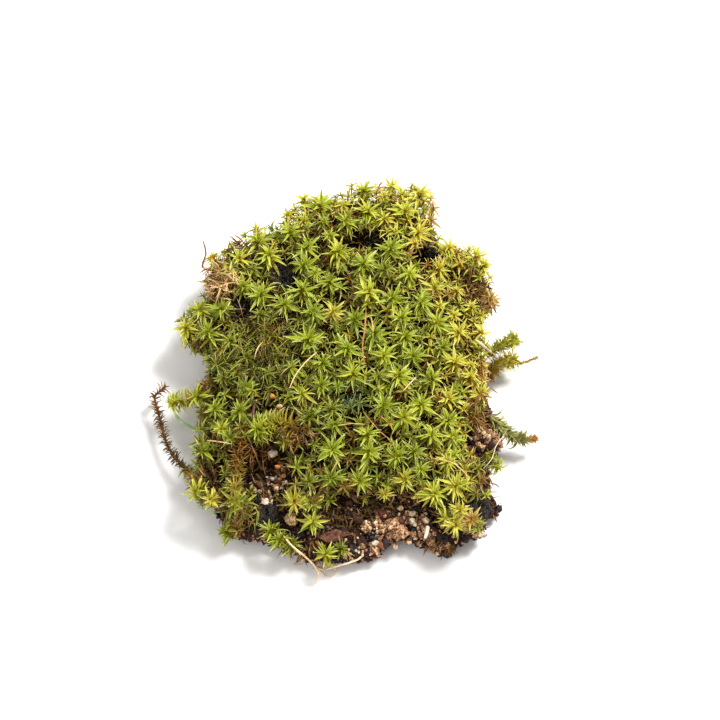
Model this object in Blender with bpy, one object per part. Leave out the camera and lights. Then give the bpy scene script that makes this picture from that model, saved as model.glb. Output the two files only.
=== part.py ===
"""A clump of star moss lifted off the ground: a pad of soil, the carpet of leafy shoots that grows
from it, the tufts and stray shoots round its edge, and the roots, stalks and grit caught in it.

Metres, +Z up. The origin is under the middle of the clump, on the surface that it rests on.
+Y points away from the viewer and +X to the viewer's right.
"""

import math
import random

import bmesh
import bpy
import numpy as np
from mathutils import Matrix, Vector, bvhtree, noise

MM = 0.001

# Driving dimensions of the clump.
CANOPY_TOP = 12.6 * MM
CANOPY_RIM = 9.0 * MM
CARPET_RIM = 6.4 * MM
SOIL_TOP = 4.4 * MM
SOIL_RIM = 2.1 * MM
GAP = 0.3 * MM
CARPET_FLOOR = SOIL_TOP + 0.35 * MM
CROWN_CLEARANCE = 1.6 * MM
CROWN_POINTS = 5

# How the photograph was taken: its scale, its tilt and the pixel where the origin is seen.
PIXELS_PER_METRE = 7000.0
VIEW_ELEVATION = math.radians(64)
ORIGIN_PIXEL = (345, 394)

# The edges of the moss and of the soil, as pixels of the photograph, and the heights they are at.
MIDDLE_PIXEL = (342, 372)
MOSS_EDGE_HEIGHT = 7.0 * MM
MOSS_EDGE = [
    (488, 372), (487, 345), (487, 318), (496, 300), (494, 278), (489, 260), (474, 250), (448, 244),
    (436, 234), (436, 196), (422, 186), (398, 186), (376, 181), (352, 183), (330, 193), (304, 198),
    (284, 210), (276, 228), (256, 228), (238, 238), (222, 248), (208, 258), (203, 278), (200, 296),
    (184, 310), (176, 328), (186, 344), (204, 356), (206, 374), (198, 390), (197, 412), (196, 436),
    (197, 458), (190, 480), (194, 500), (218, 508), (246, 514), (268, 500), (292, 508), (316, 506),
    (338, 494), (366, 494), (398, 490), (424, 500), (440, 514), (452, 534), (478, 532), (489, 514),
    (486, 488), (479, 464), (480, 436), (484, 408), (490, 390),
]
SOIL_EDGE_HEIGHT = 1.6 * MM
SOIL_EDGE = [
    (480, 372), (479, 330), (486, 298), (481, 268), (455, 256), (430, 240), (425, 206), (390, 200),
    (350, 202), (310, 214), (285, 236), (250, 246), (222, 264), (215, 290), (199, 314), (206, 345),
    (213, 375), (206, 400), (205, 440), (202, 470), (206, 500), (222, 520), (228, 536), (245, 541),
    (265, 539), (286, 546), (301, 557), (321, 564), (345, 562), (370, 562), (386, 553), (392, 541),
    (404, 541), (422, 546), (440, 553), (459, 541), (480, 539), (491, 523), (494, 500), (489, 470),
    (501, 450), (499, 432), (485, 410), (484, 390),
]
# Lumps on the bare soil: pixel, height and radius in millimetres.
SOIL_LUMPS = [
    (396, 527, 4.4, 1.6), (376, 545, 2.8, 1.5), (424, 530, 4.0, 1.5), (442, 545, 2.6, 1.5),
    (476, 530, 3.4, 1.5), (492, 442, 4.6, 1.7), (348, 548, 2.6, 1.4), (296, 540, 3.2, 1.3),
    (246, 532, 2.8, 1.3), (272, 520, 3.6, 1.4), (350, 516, 4.6, 1.5), (488, 510, 2.6, 1.5),
]

# Star-shaped crowns of the carpet: pixel of the heart, and reach of the leaves in pixels.
CROWNS = [
    (365, 187, 15), (388, 188, 12), (406, 192, 13), (424, 191, 16), (320, 203, 17), (343, 203, 11),
    (369, 211, 15), (407, 211, 15), (345, 221, 13), (419, 232, 15), (307, 246, 14), (330, 232, 10),
    (338, 252, 17), (391, 247, 16), (364, 265, 15), (303, 266, 15), (386, 268, 12), (410, 277, 14),
    (331, 283, 13), (303, 290, 14), (369, 292, 17), (394, 297, 13), (422, 302, 14), (289, 231, 14),
    (268, 254, 16), (257, 238, 14), (240, 258, 13), (230, 268, 11), (243, 286, 12), (261, 294, 13),
    (211, 256, 11), (217, 284, 12), (284, 304, 13), (222, 307, 14), (200, 309, 13), (185, 328, 15),
    (208, 332, 16), (230, 341, 13), (260, 314, 11), (218, 363, 13), (238, 370, 12), (223, 382, 11),
    (292, 368, 14), (245, 387, 13), (240, 410, 13), (215, 408, 12), (302, 395, 12), (224, 430, 12),
    (313, 312, 14), (334, 311, 12), (356, 320, 14), (375, 334, 14), (402, 317, 13), (308, 339, 16),
    (348, 348, 14), (384, 356, 15), (406, 336, 14), (413, 356, 13), (397, 376, 15), (324, 362, 12),
    (352, 373, 14), (322, 385, 12), (332, 406, 13), (310, 416, 13), (383, 405, 14), (404, 418, 15),
    (367, 434, 13), (335, 426, 11), (421, 403, 15), (438, 322, 14), (459, 333, 14), (472, 306, 12),
    (482, 332, 11), (441, 305, 10), (454, 361, 15), (433, 378, 14), (470, 378, 14), (480, 394, 13),
    (447, 398, 15), (447, 420, 14), (431, 436, 13), (453, 438, 12), (451, 247, 14), (478, 256, 14),
    (439, 269, 14), (435, 289, 13), (458, 291, 10), (490, 297, 11), (333, 447, 15), (369, 451, 15),
    (397, 456, 14), (360, 480, 14), (406, 479, 13), (332, 478, 13), (312, 500, 12), (447, 461, 11),
    (415, 448, 12), (434, 491, 15), (456, 484, 15), (203, 450, 13), (196, 490, 14), (237, 500, 15),
    (264, 342, 11), (455, 523, 14), (471, 517, 12), (285, 426, 12), (258, 430, 13), (295, 499, 13),
    (476, 478, 11), (212, 500, 11), (197, 396, 13),
]
# Pits in the canopy: pixel, radius in pixels, depth in millimetres. Two deep ones show soil.
PITS = [
    (283, 278, 14, 2.6), (243, 304, 13, 2.6), (350, 236, 10, 2.6), (371, 238, 11, 2.6),
    (430, 251, 11, 2.4), (471, 277, 12, 2.6), (267, 403, 9, 2.2), (211, 472, 12, 2.6),
    (270, 459, 22, 4.8), (278, 488, 17, 4.4), (474, 432, 11, 2.6),
]

MOSS_GREEN = (0.36, 0.50, 0.05)
OLIVE = (0.22, 0.25, 0.08)
DEAD_BROWN = (0.10, 0.045, 0.02)
SOIL_BROWN = (0.045, 0.032, 0.024)
SAND_TAN = (0.48, 0.34, 0.20)
STRAW = (0.62, 0.42, 0.18)


def place(pixel, height):
    """The point at this height that the photograph shows at this pixel."""
    across = (pixel[0] - ORIGIN_PIXEL[0]) / PIXELS_PER_METRE
    up = (ORIGIN_PIXEL[1] - pixel[1]) / PIXELS_PER_METRE
    away = (up - height * math.cos(VIEW_ELEVATION)) / math.sin(VIEW_ELEVATION)
    return Vector((across, away, height))


class Edge:
    """A closed edge round the clump's middle, through these pixels at this height."""

    def __init__(self, pixels, height):
        self.middle = place(MIDDLE_PIXEL, height)
        found = []
        for pixel in pixels:
            out = place(pixel, height) - self.middle
            found.append((math.atan2(out.y, out.x), out.length))
        self.turns, self.radii = zip(*sorted(found))

    def radius(self, turn):
        return float(np.interp(turn, self.turns, self.radii, period=2 * math.pi))

    def share(self, x, y):
        """How far out a point is: 0 in the middle and 1 on the edge."""
        out = Vector((x - self.middle.x, y - self.middle.y))
        return out.length / self.radius(math.atan2(out.y, out.x))


def ripple(x, y, size, seed):
    """Smooth noise between about -1 and 1, with lumps of this size."""
    return noise.noise(Vector((x / size, y / size, seed)))


def canopy(x, y):
    """Height of the crowns' hearts."""
    fall = min(1.0, moss_edge.share(x, y)) ** 2.6
    height = CANOPY_TOP + (CANOPY_RIM - CANOPY_TOP) * fall
    return height + 0.5 * MM * ripple(x, y, 9 * MM, 3.0)


def carpet_top(x, y):
    return canopy(x, y) - CROWN_CLEARANCE


def soil_top(x, y):
    """The soil is flat under the moss, and falls and is lumpy where nothing covers it."""
    bare = min(1.0, max(0.0, (moss_edge.share(x, y) - 1.0) / 0.2))
    return SOIL_TOP - (0.8 + 0.6 * ripple(x, y, 2.5 * MM, 8.0)) * MM * bare


def material(name, colour, roughness=0.8):
    made = bpy.data.materials.new(name)
    made.use_nodes = True
    shader = made.node_tree.nodes["Principled BSDF"]
    shader.inputs["Base Color"].default_value = (*colour, 1.0)
    shader.inputs["Roughness"].default_value = roughness
    shader.inputs["Metallic"].default_value = 0.0
    return made


def add(name, data, finish, collection=None):
    part = bpy.data.objects.new(name, data)
    data.materials.append(finish)
    (collection or clump).objects.link(part)
    return part


def mesh_from(bm, name):
    bmesh.ops.recalc_face_normals(bm, faces=bm.faces)
    mesh = bpy.data.meshes.new(name)
    bm.to_mesh(mesh)
    bm.free()
    return mesh


def cushion(name, edge, rim_height, floor, top, segments, rings, crumble=0.0):
    """A flattened ball whose rim follows an edge, with its own floor and top heights."""
    bm = bmesh.new()
    bmesh.ops.create_uvsphere(bm, u_segments=segments, v_segments=rings, radius=1.0)
    for vert in bm.verts:
        share = min(1.0, vert.co.xy.length)
        turn = math.atan2(vert.co.y, vert.co.x)
        reach = edge.radius(turn) * share
        x = edge.middle.x + reach * math.cos(turn)
        y = edge.middle.y + reach * math.sin(turn)
        target = top(x, y) if vert.co.z > 1e-6 else floor
        flat = min(1.0, 1.4 * math.sqrt(max(0.0, 1.0 - share**10)))
        z = rim_height + (target - rim_height) * flat
        if crumble and z > 0.2 * MM:
            nudge = noise.noise_vector(Vector((x, y, z)) / (2.2 * MM)) * crumble * share
            x += nudge.x
            y += nudge.y
        vert.co = (x, y, z)
    return mesh_from(bm, name)


def fused(body, other, name, operation="UNION"):
    """The mesh of two solids made one, without the sealed pockets that a union can leave."""
    union = body.modifiers.new("fuse", "BOOLEAN")
    union.operation = operation
    union.object = other
    union.use_self = True
    bpy.context.view_layer.update()
    graph = bpy.context.evaluated_depsgraph_get()
    bm = bmesh.new()
    bm.from_mesh(body.evaluated_get(graph).to_mesh())
    body.modifiers.remove(union)
    bmesh.ops.triangulate(bm, faces=bm.faces)
    unseen = set(bm.verts)
    pieces = []
    while unseen:
        reached = {unseen.pop()}
        waiting = list(reached)
        while waiting:
            for edge in waiting.pop().link_edges:
                for vert in edge.verts:
                    if vert in unseen:
                        unseen.remove(vert)
                        reached.add(vert)
                        waiting.append(vert)
        pieces.append(reached)
    pieces.sort(key=len)
    bmesh.ops.delete(bm, geom=[v for piece in pieces[:-1] for v in piece], context="VERTS")
    return mesh_from(bm, name)


def crown(bm, heart, axis, reach, spin, root):
    """One star of leaves: a cone whose rim steps in and out, over a point that roots it."""
    rise = 0.42 * reach
    made = bmesh.ops.create_cone(
        bm, cap_ends=True, segments=2 * CROWN_POINTS, radius1=reach, radius2=0.0, depth=rise
    )["verts"]
    rim = [v for v in made if v.co.z < 0]
    rim.sort(key=lambda v: math.atan2(v.co.y, v.co.x))
    for notch in rim[1::2]:
        notch.co.x *= 0.58
        notch.co.y *= 0.58
    base = next(f for f in rim[0].link_faces if len(f.verts) > 4)
    under = bmesh.ops.poke(bm, faces=[base])["verts"]
    turned = axis.to_track_quat("Z", "Y").to_matrix().to_4x4() @ Matrix.Rotation(spin, 4, "Z")
    drop = Matrix.Translation((0, 0, -rise / 2))
    bmesh.ops.transform(bm, verts=made, matrix=Matrix.Translation(heart) @ turned @ drop)
    under[0].co = root


def root_of(heart):
    """Where a crown's stem starts: inside the carpet, below the heart or in from it."""
    share = moss_edge.share(heart.x, heart.y)
    inward = min(1.0, 0.84 / share)
    x = moss_edge.middle.x + (heart.x - moss_edge.middle.x) * inward
    y = moss_edge.middle.y + (heart.y - moss_edge.middle.y) * inward
    return Vector((x, y, min(heart.z - CROWN_CLEARANCE - 1.0 * MM, carpet_top(x, y) - 0.5 * MM)))


def carpet_crowns():
    """The carpet's crowns, upright in the middle and leaning out over the edge."""
    dice = random.Random(11)
    stars = bmesh.new()
    for u, v, reach in CROWNS:
        heart = place((u, v), CANOPY_RIM)
        for _ in range(4):
            heart = place((u, v), canopy(heart.x, heart.y))
        out = Vector((heart.x - moss_edge.middle.x, heart.y - moss_edge.middle.y, 0.0))
        lean = math.radians(48) * min(1.0, moss_edge.share(heart.x, heart.y)) ** 3
        axis = Vector((0, 0, math.cos(lean))) + out.normalized() * math.sin(lean)
        axis += Vector((dice.uniform(-0.12, 0.12), dice.uniform(-0.12, 0.12), 0))
        spin = dice.uniform(0, math.pi)
        crown(stars, heart, axis.normalized(), reach / PIXELS_PER_METRE, spin, root_of(heart))
    return mesh_from(stars, "crowns")


def ball(bm, centre, radii, roughness, seed, detail=1):
    """A lumpy stone, grain or clod."""
    made = bmesh.ops.create_icosphere(bm, subdivisions=detail, radius=1.0)["verts"]
    for vert in made:
        swell = 1.0 + roughness * noise.noise(vert.co * 1.3 + Vector((seed, 0, 0)))
        vert.co = centre + Vector([c * r * swell for c, r in zip(vert.co, radii)])


class Surroundings:
    """The pieces already in place, which the next small piece must stay clear of."""

    def __init__(self):
        self.trees = []

    def watch(self, part):
        bpy.context.view_layer.update()
        graph = bpy.context.evaluated_depsgraph_get()
        bm = bmesh.new()
        bm.from_mesh(part.evaluated_get(graph).to_mesh())
        self.trees.append(bvhtree.BVHTree.FromBMesh(bm))
        bm.free()
        return part

    def inside(self, tree, point):
        """A ray straight up leaves a closed solid an odd number of times."""
        crossings = 0
        start = point.copy()
        while crossings < 40:
            hit = tree.ray_cast(start, Vector((0, 0, 1)))[0]
            if hit is None:
                break
            crossings += 1
            start = hit + Vector((0, 0, 1e-6))
        return crossings % 2 == 1

    def clearance(self, point):
        """Distance to the nearest surface, or a negative number inside a solid."""
        best = 1.0
        for tree in self.trees:
            away = tree.find_nearest(point)[3]
            best = min(best, -away if self.inside(tree, point) else away)
        return best

    def rest(self, pixel, radius, low=0.5 * MM, high=15 * MM):
        """The lowest point seen at this pixel where a ball of this radius is clear from there up."""
        height = high
        while height > low:
            if self.clearance(place(pixel, height - 0.05 * MM)) < radius + GAP:
                break
            height -= 0.05 * MM
        return place(pixel, height)


def spread(points, step):
    """Points this far apart along a line through these points."""
    out = []
    for start, end in zip(points, points[1:]):
        count = max(1, round((end - start).length / step))
        out += [start.lerp(end, i / count) for i in range(count)]
    return out + [points[-1]]


def rod(name, points, radii, finish, around, sides=6):
    """A stalk through these points, with a radius at each and closed ends."""
    curve = bpy.data.curves.new(name, "CURVE")
    curve.dimensions = "3D"
    curve.bevel_depth = 1.0 * MM
    curve.bevel_resolution = (sides - 4) // 2
    curve.use_fill_caps = True
    spline = curve.splines.new("POLY")
    spline.points.add(len(points) - 1)
    for knot, point, radius in zip(spline.points, points, radii):
        knot.co = (*point, 1.0)
        knot.radius = radius / MM
    return around.watch(add(name, curve, finish))


def laid(name, pixels, radius, finish, around, step=1.6 * MM):
    """A stalk or straw that lies on whatever is below it."""
    seen = spread([Vector(pixel) for pixel in pixels], step * PIXELS_PER_METRE)
    rests = [around.rest(pixel, radius).z for pixel in seen]
    crests = [max(rests[max(0, i - 1):i + 2]) for i in range(len(rests))]
    points = [place(pixel, height) for pixel, height in zip(seen, crests)]
    radii = [radius] * len(points)
    radii[0] = radii[-1] = 0.6 * radius
    return rod(name, points, radii, finish, around)


def clear_path(pixels, step, radius, around):
    """Points along pixels with heights in millimetres, without those too near another piece."""
    path = spread([place((u, v), height * MM) for u, v, height in pixels], step)
    return [point for point in path if around.clearance(point) > radius + GAP]


def shoot(name, pixels, reach, stem, finish, around, whorl=1.7 * MM):
    """A stray leafy shoot, outlying end last: whorls of leaves along a stem, as stacked cups."""
    path = clear_path(pixels, whorl / 2, 0.75 * reach, around)
    radii = []
    for i in range(len(path)):
        taper = min(1.0, 0.55 + 0.3 * i, 0.45 + 0.25 * (len(path) - 1 - i))
        radii.append(taper * (reach if i % 2 else stem))
    return rod(name, path, radii, finish, around)


def tuft(name, stars, foot, finish, around):
    """A few crowns that stand apart from the carpet, on one foot of soil and old leaves."""
    stand = around.rest(foot[:2], foot[2] * MM)
    body = bmesh.new()
    ball(body, stand, [foot[2] * MM] * 3, 0.1, 3.0)
    rays = bmesh.new()
    for u, v, rise, reach, lean_x, lean_y in stars:
        axis = Vector((lean_x, lean_y, 1.0)).normalized()
        heart = place((u, v), stand.z + rise * MM)
        crown(rays, heart, axis, reach / PIXELS_PER_METRE, u * 0.7, stand)
    body_part = add(name + "_foot", mesh_from(body, name + "_foot"), finish, helpers)
    ray_part = add(name + "_rays", mesh_from(rays, name + "_rays"), finish, helpers)
    return around.watch(add(name, fused(body_part, ray_part, name), finish))


def grain(name, pixel, radii, finish, around, detail=1):
    """A stone, seed, bead or flat scrap where it lies."""
    bm = bmesh.new()
    sizes = [radius * MM for radius in radii]
    reach = 0.7 * (Vector(sizes) - Vector((sizes[2],) * 3)) * PIXELS_PER_METRE
    steps = [(0, 0), (reach.x, 0), (-reach.x, 0), (0, reach.y), (0, -reach.y)]
    spots = [(pixel[0] + across, pixel[1] + down) for across, down in steps]
    height = max(around.rest(spot, sizes[2]).z for spot in spots)
    ball(bm, place(pixel, height), sizes, 0.2, pixel[0], detail)
    return around.watch(add(name, mesh_from(bm, name), finish))


for old in list(bpy.data.objects):
    bpy.data.objects.remove(old, do_unlink=True)
clump = bpy.data.collections.new("moss_clump")
helpers = bpy.data.collections.new("helpers")
bpy.context.scene.collection.children.link(clump)
bpy.context.scene.collection.children.link(helpers)
moss_edge = Edge(MOSS_EDGE, MOSS_EDGE_HEIGHT)
soil_edge = Edge(SOIL_EDGE, SOIL_EDGE_HEIGHT)
moss_green = material("moss_green", MOSS_GREEN)
olive = material("olive", OLIVE)
dead_brown = material("dead_brown", DEAD_BROWN)
soil_brown = material("soil_brown", SOIL_BROWN, 0.95)
sand_tan = material("sand_tan", SAND_TAN, 0.6)
straw = material("straw", STRAW, 0.6)

# Soil: a crumbly pad with lumps on the part that no moss covers.
pad = cushion("pad", soil_edge, SOIL_RIM, 0.0, soil_top, 40, 14, 0.9 * MM)
pad_part = add("pad", pad, soil_brown, helpers)
lumps = bmesh.new()
for u, v, height, radius in SOIL_LUMPS:
    ball(lumps, place((u, v), (height - 0.6 * radius) * MM), [radius * MM] * 3, 0.25, u)
lump_part = add("lumps", mesh_from(lumps, "lumps"), soil_brown, helpers)
soil = add("soil_pad", fused(pad_part, lump_part, "soil_pad"), soil_brown)

# Moss: the carpet with its crowns.
carpet_body = cushion("carpet_body", moss_edge, CARPET_RIM, CARPET_FLOOR, carpet_top, 34, 12)
carpet_part = add("carpet_body", carpet_body, moss_green, helpers)
pits = bmesh.new()
for u, v, radius, depth in PITS:
    at = place((u, v), CARPET_FLOOR)
    for _ in range(4):
        at = place((u, v), carpet_top(at.x, at.y) - 0.6 * depth * MM)
    at.z = carpet_top(at.x, at.y)
    wide = radius / PIXELS_PER_METRE
    ball(pits, at, [wide, 1.1 * wide, depth * MM], 0.2, u)
pit_part = add("pits", mesh_from(pits, "pits"), moss_green, helpers)
pitted_mesh = fused(carpet_part, pit_part, "pitted_body", "DIFFERENCE")
pitted_part = add("pitted_body", pitted_mesh, moss_green, helpers)
star_part = add("crowns", carpet_crowns(), moss_green, helpers)
carpet = add("moss_carpet", fused(pitted_part, star_part, "moss_carpet"), moss_green)
ground = Surroundings()
ground.watch(soil)
ground.watch(carpet)

# Tufts on the bare soil at the front. Each star: pixel, millimetres above its foot, reach in
# pixels and lean.
tuft("front_tuft", [(314, 519, 2.2, 14, 0.0, -0.3)], (315, 529, 0.9), moss_green, ground)
tuft("root_tuft", [(326, 552, 1.6, 13, 0.1, -0.5)], (327, 551, 0.8), moss_green, ground)
tuft(
    "left_front_tuft",
    [(270, 529, 1.6, 12, -0.2, -0.3), (293, 542, 1.0, 9, 0.3, -0.3)],
    (280, 537, 0.8), olive, ground,
)
tuft("corner_tuft", [(229, 532, 1.2, 10, -0.3, -0.3)], (232, 534, 0.7), olive, ground)

# Stray shoots round the edge. Each point: pixel and height in millimetres.
shoot(
    "long_brown_shoot",
    [(192, 474, 3.4), (180, 463, 3.0), (171, 452, 2.8), (165, 440, 2.6), (161, 425, 2.6),
     (157, 411, 2.8), (154, 397, 3.2), (163, 388, 3.6)],
    0.7 * MM, 0.35 * MM, dead_brown, ground, 1.6 * MM,
)
shoot(
    "left_shoot", [(204, 392, 5.2), (188, 398, 4.8), (168, 404, 4.4)],
    1.5 * MM, 0.8 * MM, olive, ground,
)
shoot(
    "right_shoot_upper", [(484, 354, 4.8), (505, 345, 4.8), (519, 339, 4.6)],
    0.9 * MM, 0.5 * MM, olive, ground,
)
shoot(
    "right_shoot_lower", [(484, 376, 3.8), (503, 362, 3.8), (518, 359, 3.6), (537, 358, 3.4)],
    0.75 * MM, 0.4 * MM, olive, ground,
)
shoot(
    "feather_sprig", [(486, 414, 5.0), (500, 425, 4.4), (513, 434, 3.8), (534, 441, 3.2)],
    1.3 * MM, 0.7 * MM, olive, ground,
)
shoot(
    "green_tip", [(484, 448, 7.2), (493, 458, 6.6), (506, 472, 5.6)],
    0.8 * MM, 0.5 * MM, olive, ground, 1.2 * MM,
)

# A grass blade under the left shoot, loose stalks, and two roots that curl over the front edge.
grass = [(174, 413, 2.4), (181, 423, 2.6), (190, 427, 2.8), (200, 433, 3.0)]
blade = clear_path(grass, 1.2 * MM, 0.28 * MM, ground)
rod("grass_blade", blade, [0.28 * MM] * len(blade), olive, ground)
laid("brown_seta", [(366, 310), (364, 330), (362, 350), (364, 365)], 0.17 * MM, dead_brown, ground)
laid("tan_seta", [(371, 317), (373, 332)], 0.16 * MM, straw, ground)
laid("straw_stalk", [(317, 352), (306, 362), (296, 375), (290, 388)], 0.16 * MM, straw, ground)
laid("pink_stalk", [(416, 377), (403, 391)], 0.16 * MM, straw, ground)
laid("arched_stalk", [(432, 457), (450, 461), (468, 476)], 0.16 * MM, straw, ground)
laid("pale_hair", [(510, 427), (505, 432), (495, 445), (491, 458)], 0.16 * MM, straw, ground)
laid("dark_twig", [(255, 398), (254, 419)], 0.22 * MM, dead_brown, ground)
laid("white_stick", [(427, 524), (424.5, 537)], 0.25 * MM, straw, ground)
laid("root_left", [(291, 542), (304, 553), (315, 564), (319, 574), (315, 584)], 0.25 * MM, straw, ground)
laid("root_right", [(359, 557), (346, 562), (335, 565), (323, 569)], 0.25 * MM, straw, ground)

# A scrap of dead leaf, and the larger grit. Each: pixel and radii in millimetres.
grain("leaf_scrap", (335, 534), (2.1, 1.1, 0.2), dead_brown, ground, 2)
grain("sand_ball", (292, 518), (0.9, 0.85, 0.85), sand_tan, ground, 2)
grain("lobed_grain", (274, 453), (0.8, 0.65, 0.6), sand_tan, ground, 2)
grain("orange_grain", (278, 466), (0.45, 0.35, 0.35), straw, ground)
grain("white_grain", (277, 488), (0.5, 0.45, 0.4), sand_tan, ground)
grain("pale_grain", (412, 512), (0.7, 0.6, 0.5), sand_tan, ground)
grain("tan_grain", (400, 507), (0.5, 0.5, 0.4), sand_tan, ground)
grain("ledge_grain", (425, 519), (0.5, 0.5, 0.45), sand_tan, ground)
grain("grey_pebble", (375, 541), (0.65, 0.55, 0.5), sand_tan, ground)
grain("front_grain", (395, 545), (0.5, 0.45, 0.4), sand_tan, ground)
grain("corner_grain", (481, 533), (0.65, 0.5, 0.5), sand_tan, ground)
grain("orange_bead", (273, 396), (0.4, 0.4, 0.4), straw, ground)
grain("brown_seed", (280, 406), (0.5, 0.35, 0.35), straw, ground)

for helper in helpers.objects:
    helper.hide_render = True
    helper.display_type = "WIRE"
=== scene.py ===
import math
import random

import bmesh
import bpy
import numpy as np
from mathutils import Matrix, Vector, noise
from mathutils.bvhtree import BVHTree


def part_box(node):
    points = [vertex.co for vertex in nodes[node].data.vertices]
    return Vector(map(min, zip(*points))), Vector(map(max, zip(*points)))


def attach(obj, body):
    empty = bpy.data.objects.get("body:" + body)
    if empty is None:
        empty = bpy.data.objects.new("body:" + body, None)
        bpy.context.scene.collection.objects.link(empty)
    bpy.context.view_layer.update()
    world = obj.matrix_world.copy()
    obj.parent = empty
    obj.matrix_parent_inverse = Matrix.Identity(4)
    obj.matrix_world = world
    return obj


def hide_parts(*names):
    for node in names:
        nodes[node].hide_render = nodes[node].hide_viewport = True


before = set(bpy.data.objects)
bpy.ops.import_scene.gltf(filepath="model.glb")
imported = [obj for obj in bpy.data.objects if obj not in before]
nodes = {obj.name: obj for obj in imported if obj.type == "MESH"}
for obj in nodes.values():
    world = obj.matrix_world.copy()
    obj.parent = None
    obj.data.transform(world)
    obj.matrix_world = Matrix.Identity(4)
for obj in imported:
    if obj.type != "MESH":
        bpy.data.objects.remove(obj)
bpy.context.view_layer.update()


# ---- Camera ----
# It looks down on the clump from the front, 64 degrees above the table. The picture is square,
# with 7 points to a millimetre at the height of the moss.
MM = 0.001
ELEVATION = math.radians(64)
POINTS_PER_METRE = 7000.0
ORIGIN_POINT = (345, 394)
PICTURE_SIDE = 720
AIM_HEIGHT = 9 * MM
CAMERA_DISTANCE = 0.8
SENSOR_WIDTH = 36


def place(point, height):
    """Where the line of sight through a point of the picture meets this height."""
    across = (point[0] - ORIGIN_POINT[0]) / POINTS_PER_METRE
    up = (ORIGIN_POINT[1] - point[1]) / POINTS_PER_METRE
    away = (up - height * math.cos(ELEVATION)) / math.sin(ELEVATION)
    return Vector((across, away, height))


def point_of(spot):
    """The point of the picture where a spot on the clump is seen."""
    up = spot[1] * math.sin(ELEVATION) + spot[2] * math.cos(ELEVATION)
    return (ORIGIN_POINT[0] + spot[0] * POINTS_PER_METRE, ORIGIN_POINT[1] - up * POINTS_PER_METRE)


sight = Vector((0, -math.cos(ELEVATION), math.sin(ELEVATION)))
picture_middle = place((PICTURE_SIDE / 2, PICTURE_SIDE / 2), AIM_HEIGHT)
lens = bpy.data.cameras.new("camera")
lens.sensor_width = SENSOR_WIDTH
lens.lens = SENSOR_WIDTH * CAMERA_DISTANCE / (PICTURE_SIDE / POINTS_PER_METRE)
lens.clip_start = 0.05
lens.clip_end = 10
camera = bpy.data.objects.new("camera", lens)
camera.location = picture_middle + sight * CAMERA_DISTANCE
camera.rotation_mode = "QUATERNION"
camera.rotation_quaternion = sight.to_track_quat("Z", "Y")
scene = bpy.context.scene
scene.collection.objects.link(camera)
scene.camera = camera
scene.view_settings.view_transform = "Standard"
scene.view_settings.look = "Medium High Contrast"


# ---- Table and light ----
# A pale matt table top under an even white room light, with one broad soft lamp high at the
# right and a weaker one at the left.
class Wire:
    """A socket in a material. Sums written on wires add Math nodes."""

    def __init__(self, tree, socket=None):
        self.tree = tree
        self.socket = socket

    def node(self, kind, settings=None, values=None, output=0):
        made = self.tree.nodes.new("ShaderNode" + kind)
        for name, setting in (settings or {}).items():
            if name == "stops":
                stops = made.color_ramp.elements
                stops[0].position, stops[1].position = setting[0][0], setting[-1][0]
                for at, *_ in setting[1:-1]:
                    stops.new(at)
                for stop, (_, *colour) in zip(stops, setting):
                    stop.color = (*colour, 1)
            else:
                setattr(made, name, setting)
        for name, value in (values or {}).items():
            if isinstance(value, Wire):
                self.tree.links.new(value.socket, made.inputs[name])
            else:
                made.inputs[name].default_value = value
        return Wire(self.tree, made.outputs[output] if made.outputs else None)

    def maths(self, operation, *values):
        return self.node("Math", {"operation": operation}, dict(enumerate(values)))

    def __add__(self, other):
        return self.maths("ADD", self, other)

    def __mul__(self, other):
        return self.maths("MULTIPLY", self, other)

    def __pow__(self, other):
        return self.maths("POWER", self, other)

    __radd__ = __add__
    __rmul__ = __mul__

    def clipped(self, low, high, to_low=0.0, to_high=1.0):
        return self.node("MapRange", {}, {0: self, 1: low, 2: high, 3: to_low, 4: to_high})

    def ramp(self, *stops):
        """A colour for each value. A stop is its place from 0 to 1, then red, green and blue."""
        return self.node("ValToRGB", {"stops": stops}, {0: self})

    def between(self, low, high):
        """The mix of two colours that this wire's value gives."""
        low, high = [c if isinstance(c, Wire) else (*c, 1) for c in (low, high)]
        return self.node("Mix", {"data_type": "RGBA"}, {0: self, 6: low, 7: high}, 2)

    def here(self):
        return self.node("TexCoord", output=3)

    def grain(self, size, detail=3.0, roughness=0.55):
        """Noise with lumps of this size in metres, in the object's own coordinates."""
        values = {"Vector": self.here(), "Scale": 1 / size, "Detail": detail}
        return self.node("TexNoise", {}, {**values, "Roughness": roughness})

    def tones(self):
        """What each corner of a piece is marked with, from 0 to 1: along, across, tint, age."""
        tone = self.node("Attribute", {"attribute_name": "tone"})
        parts = self.node("SeparateColor", {}, {0: tone})
        sockets = [*parts.socket.node.outputs, tone.socket.node.outputs["Alpha"]]
        return [Wire(self.tree, socket) for socket in sockets]


def material(name):
    made = bpy.data.materials.new(name)
    made.use_nodes = True
    made.node_tree.nodes.clear()
    return made, Wire(made.node_tree)


def surface(wire, colour, roughness, bump=None, depth=0.0, gloss=0.5, through=None, share=0.0):
    """Ends a material in a plain surface, or in one that also lets some light through."""
    values = {"Base Color": colour, "Roughness": roughness, "Specular IOR Level": gloss}
    if bump is not None:
        values["Normal"] = wire.node("Bump", {}, {"Height": bump, "Distance": depth})
    shader = wire.node("BsdfPrincipled", {}, values)
    if through is not None:
        lit = wire.node("BsdfTranslucent", {}, {"Color": through})
        shader = wire.node("MixShader", {}, {0: share, 1: shader, 2: lit})
    wire.node("OutputMaterial", {}, {"Surface": shader})


def mesh_of(name, shape, smooth=True):
    for face in shape.faces:
        face.smooth = smooth
    mesh = bpy.data.meshes.new(name)
    shape.to_mesh(mesh)
    return mesh


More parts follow.
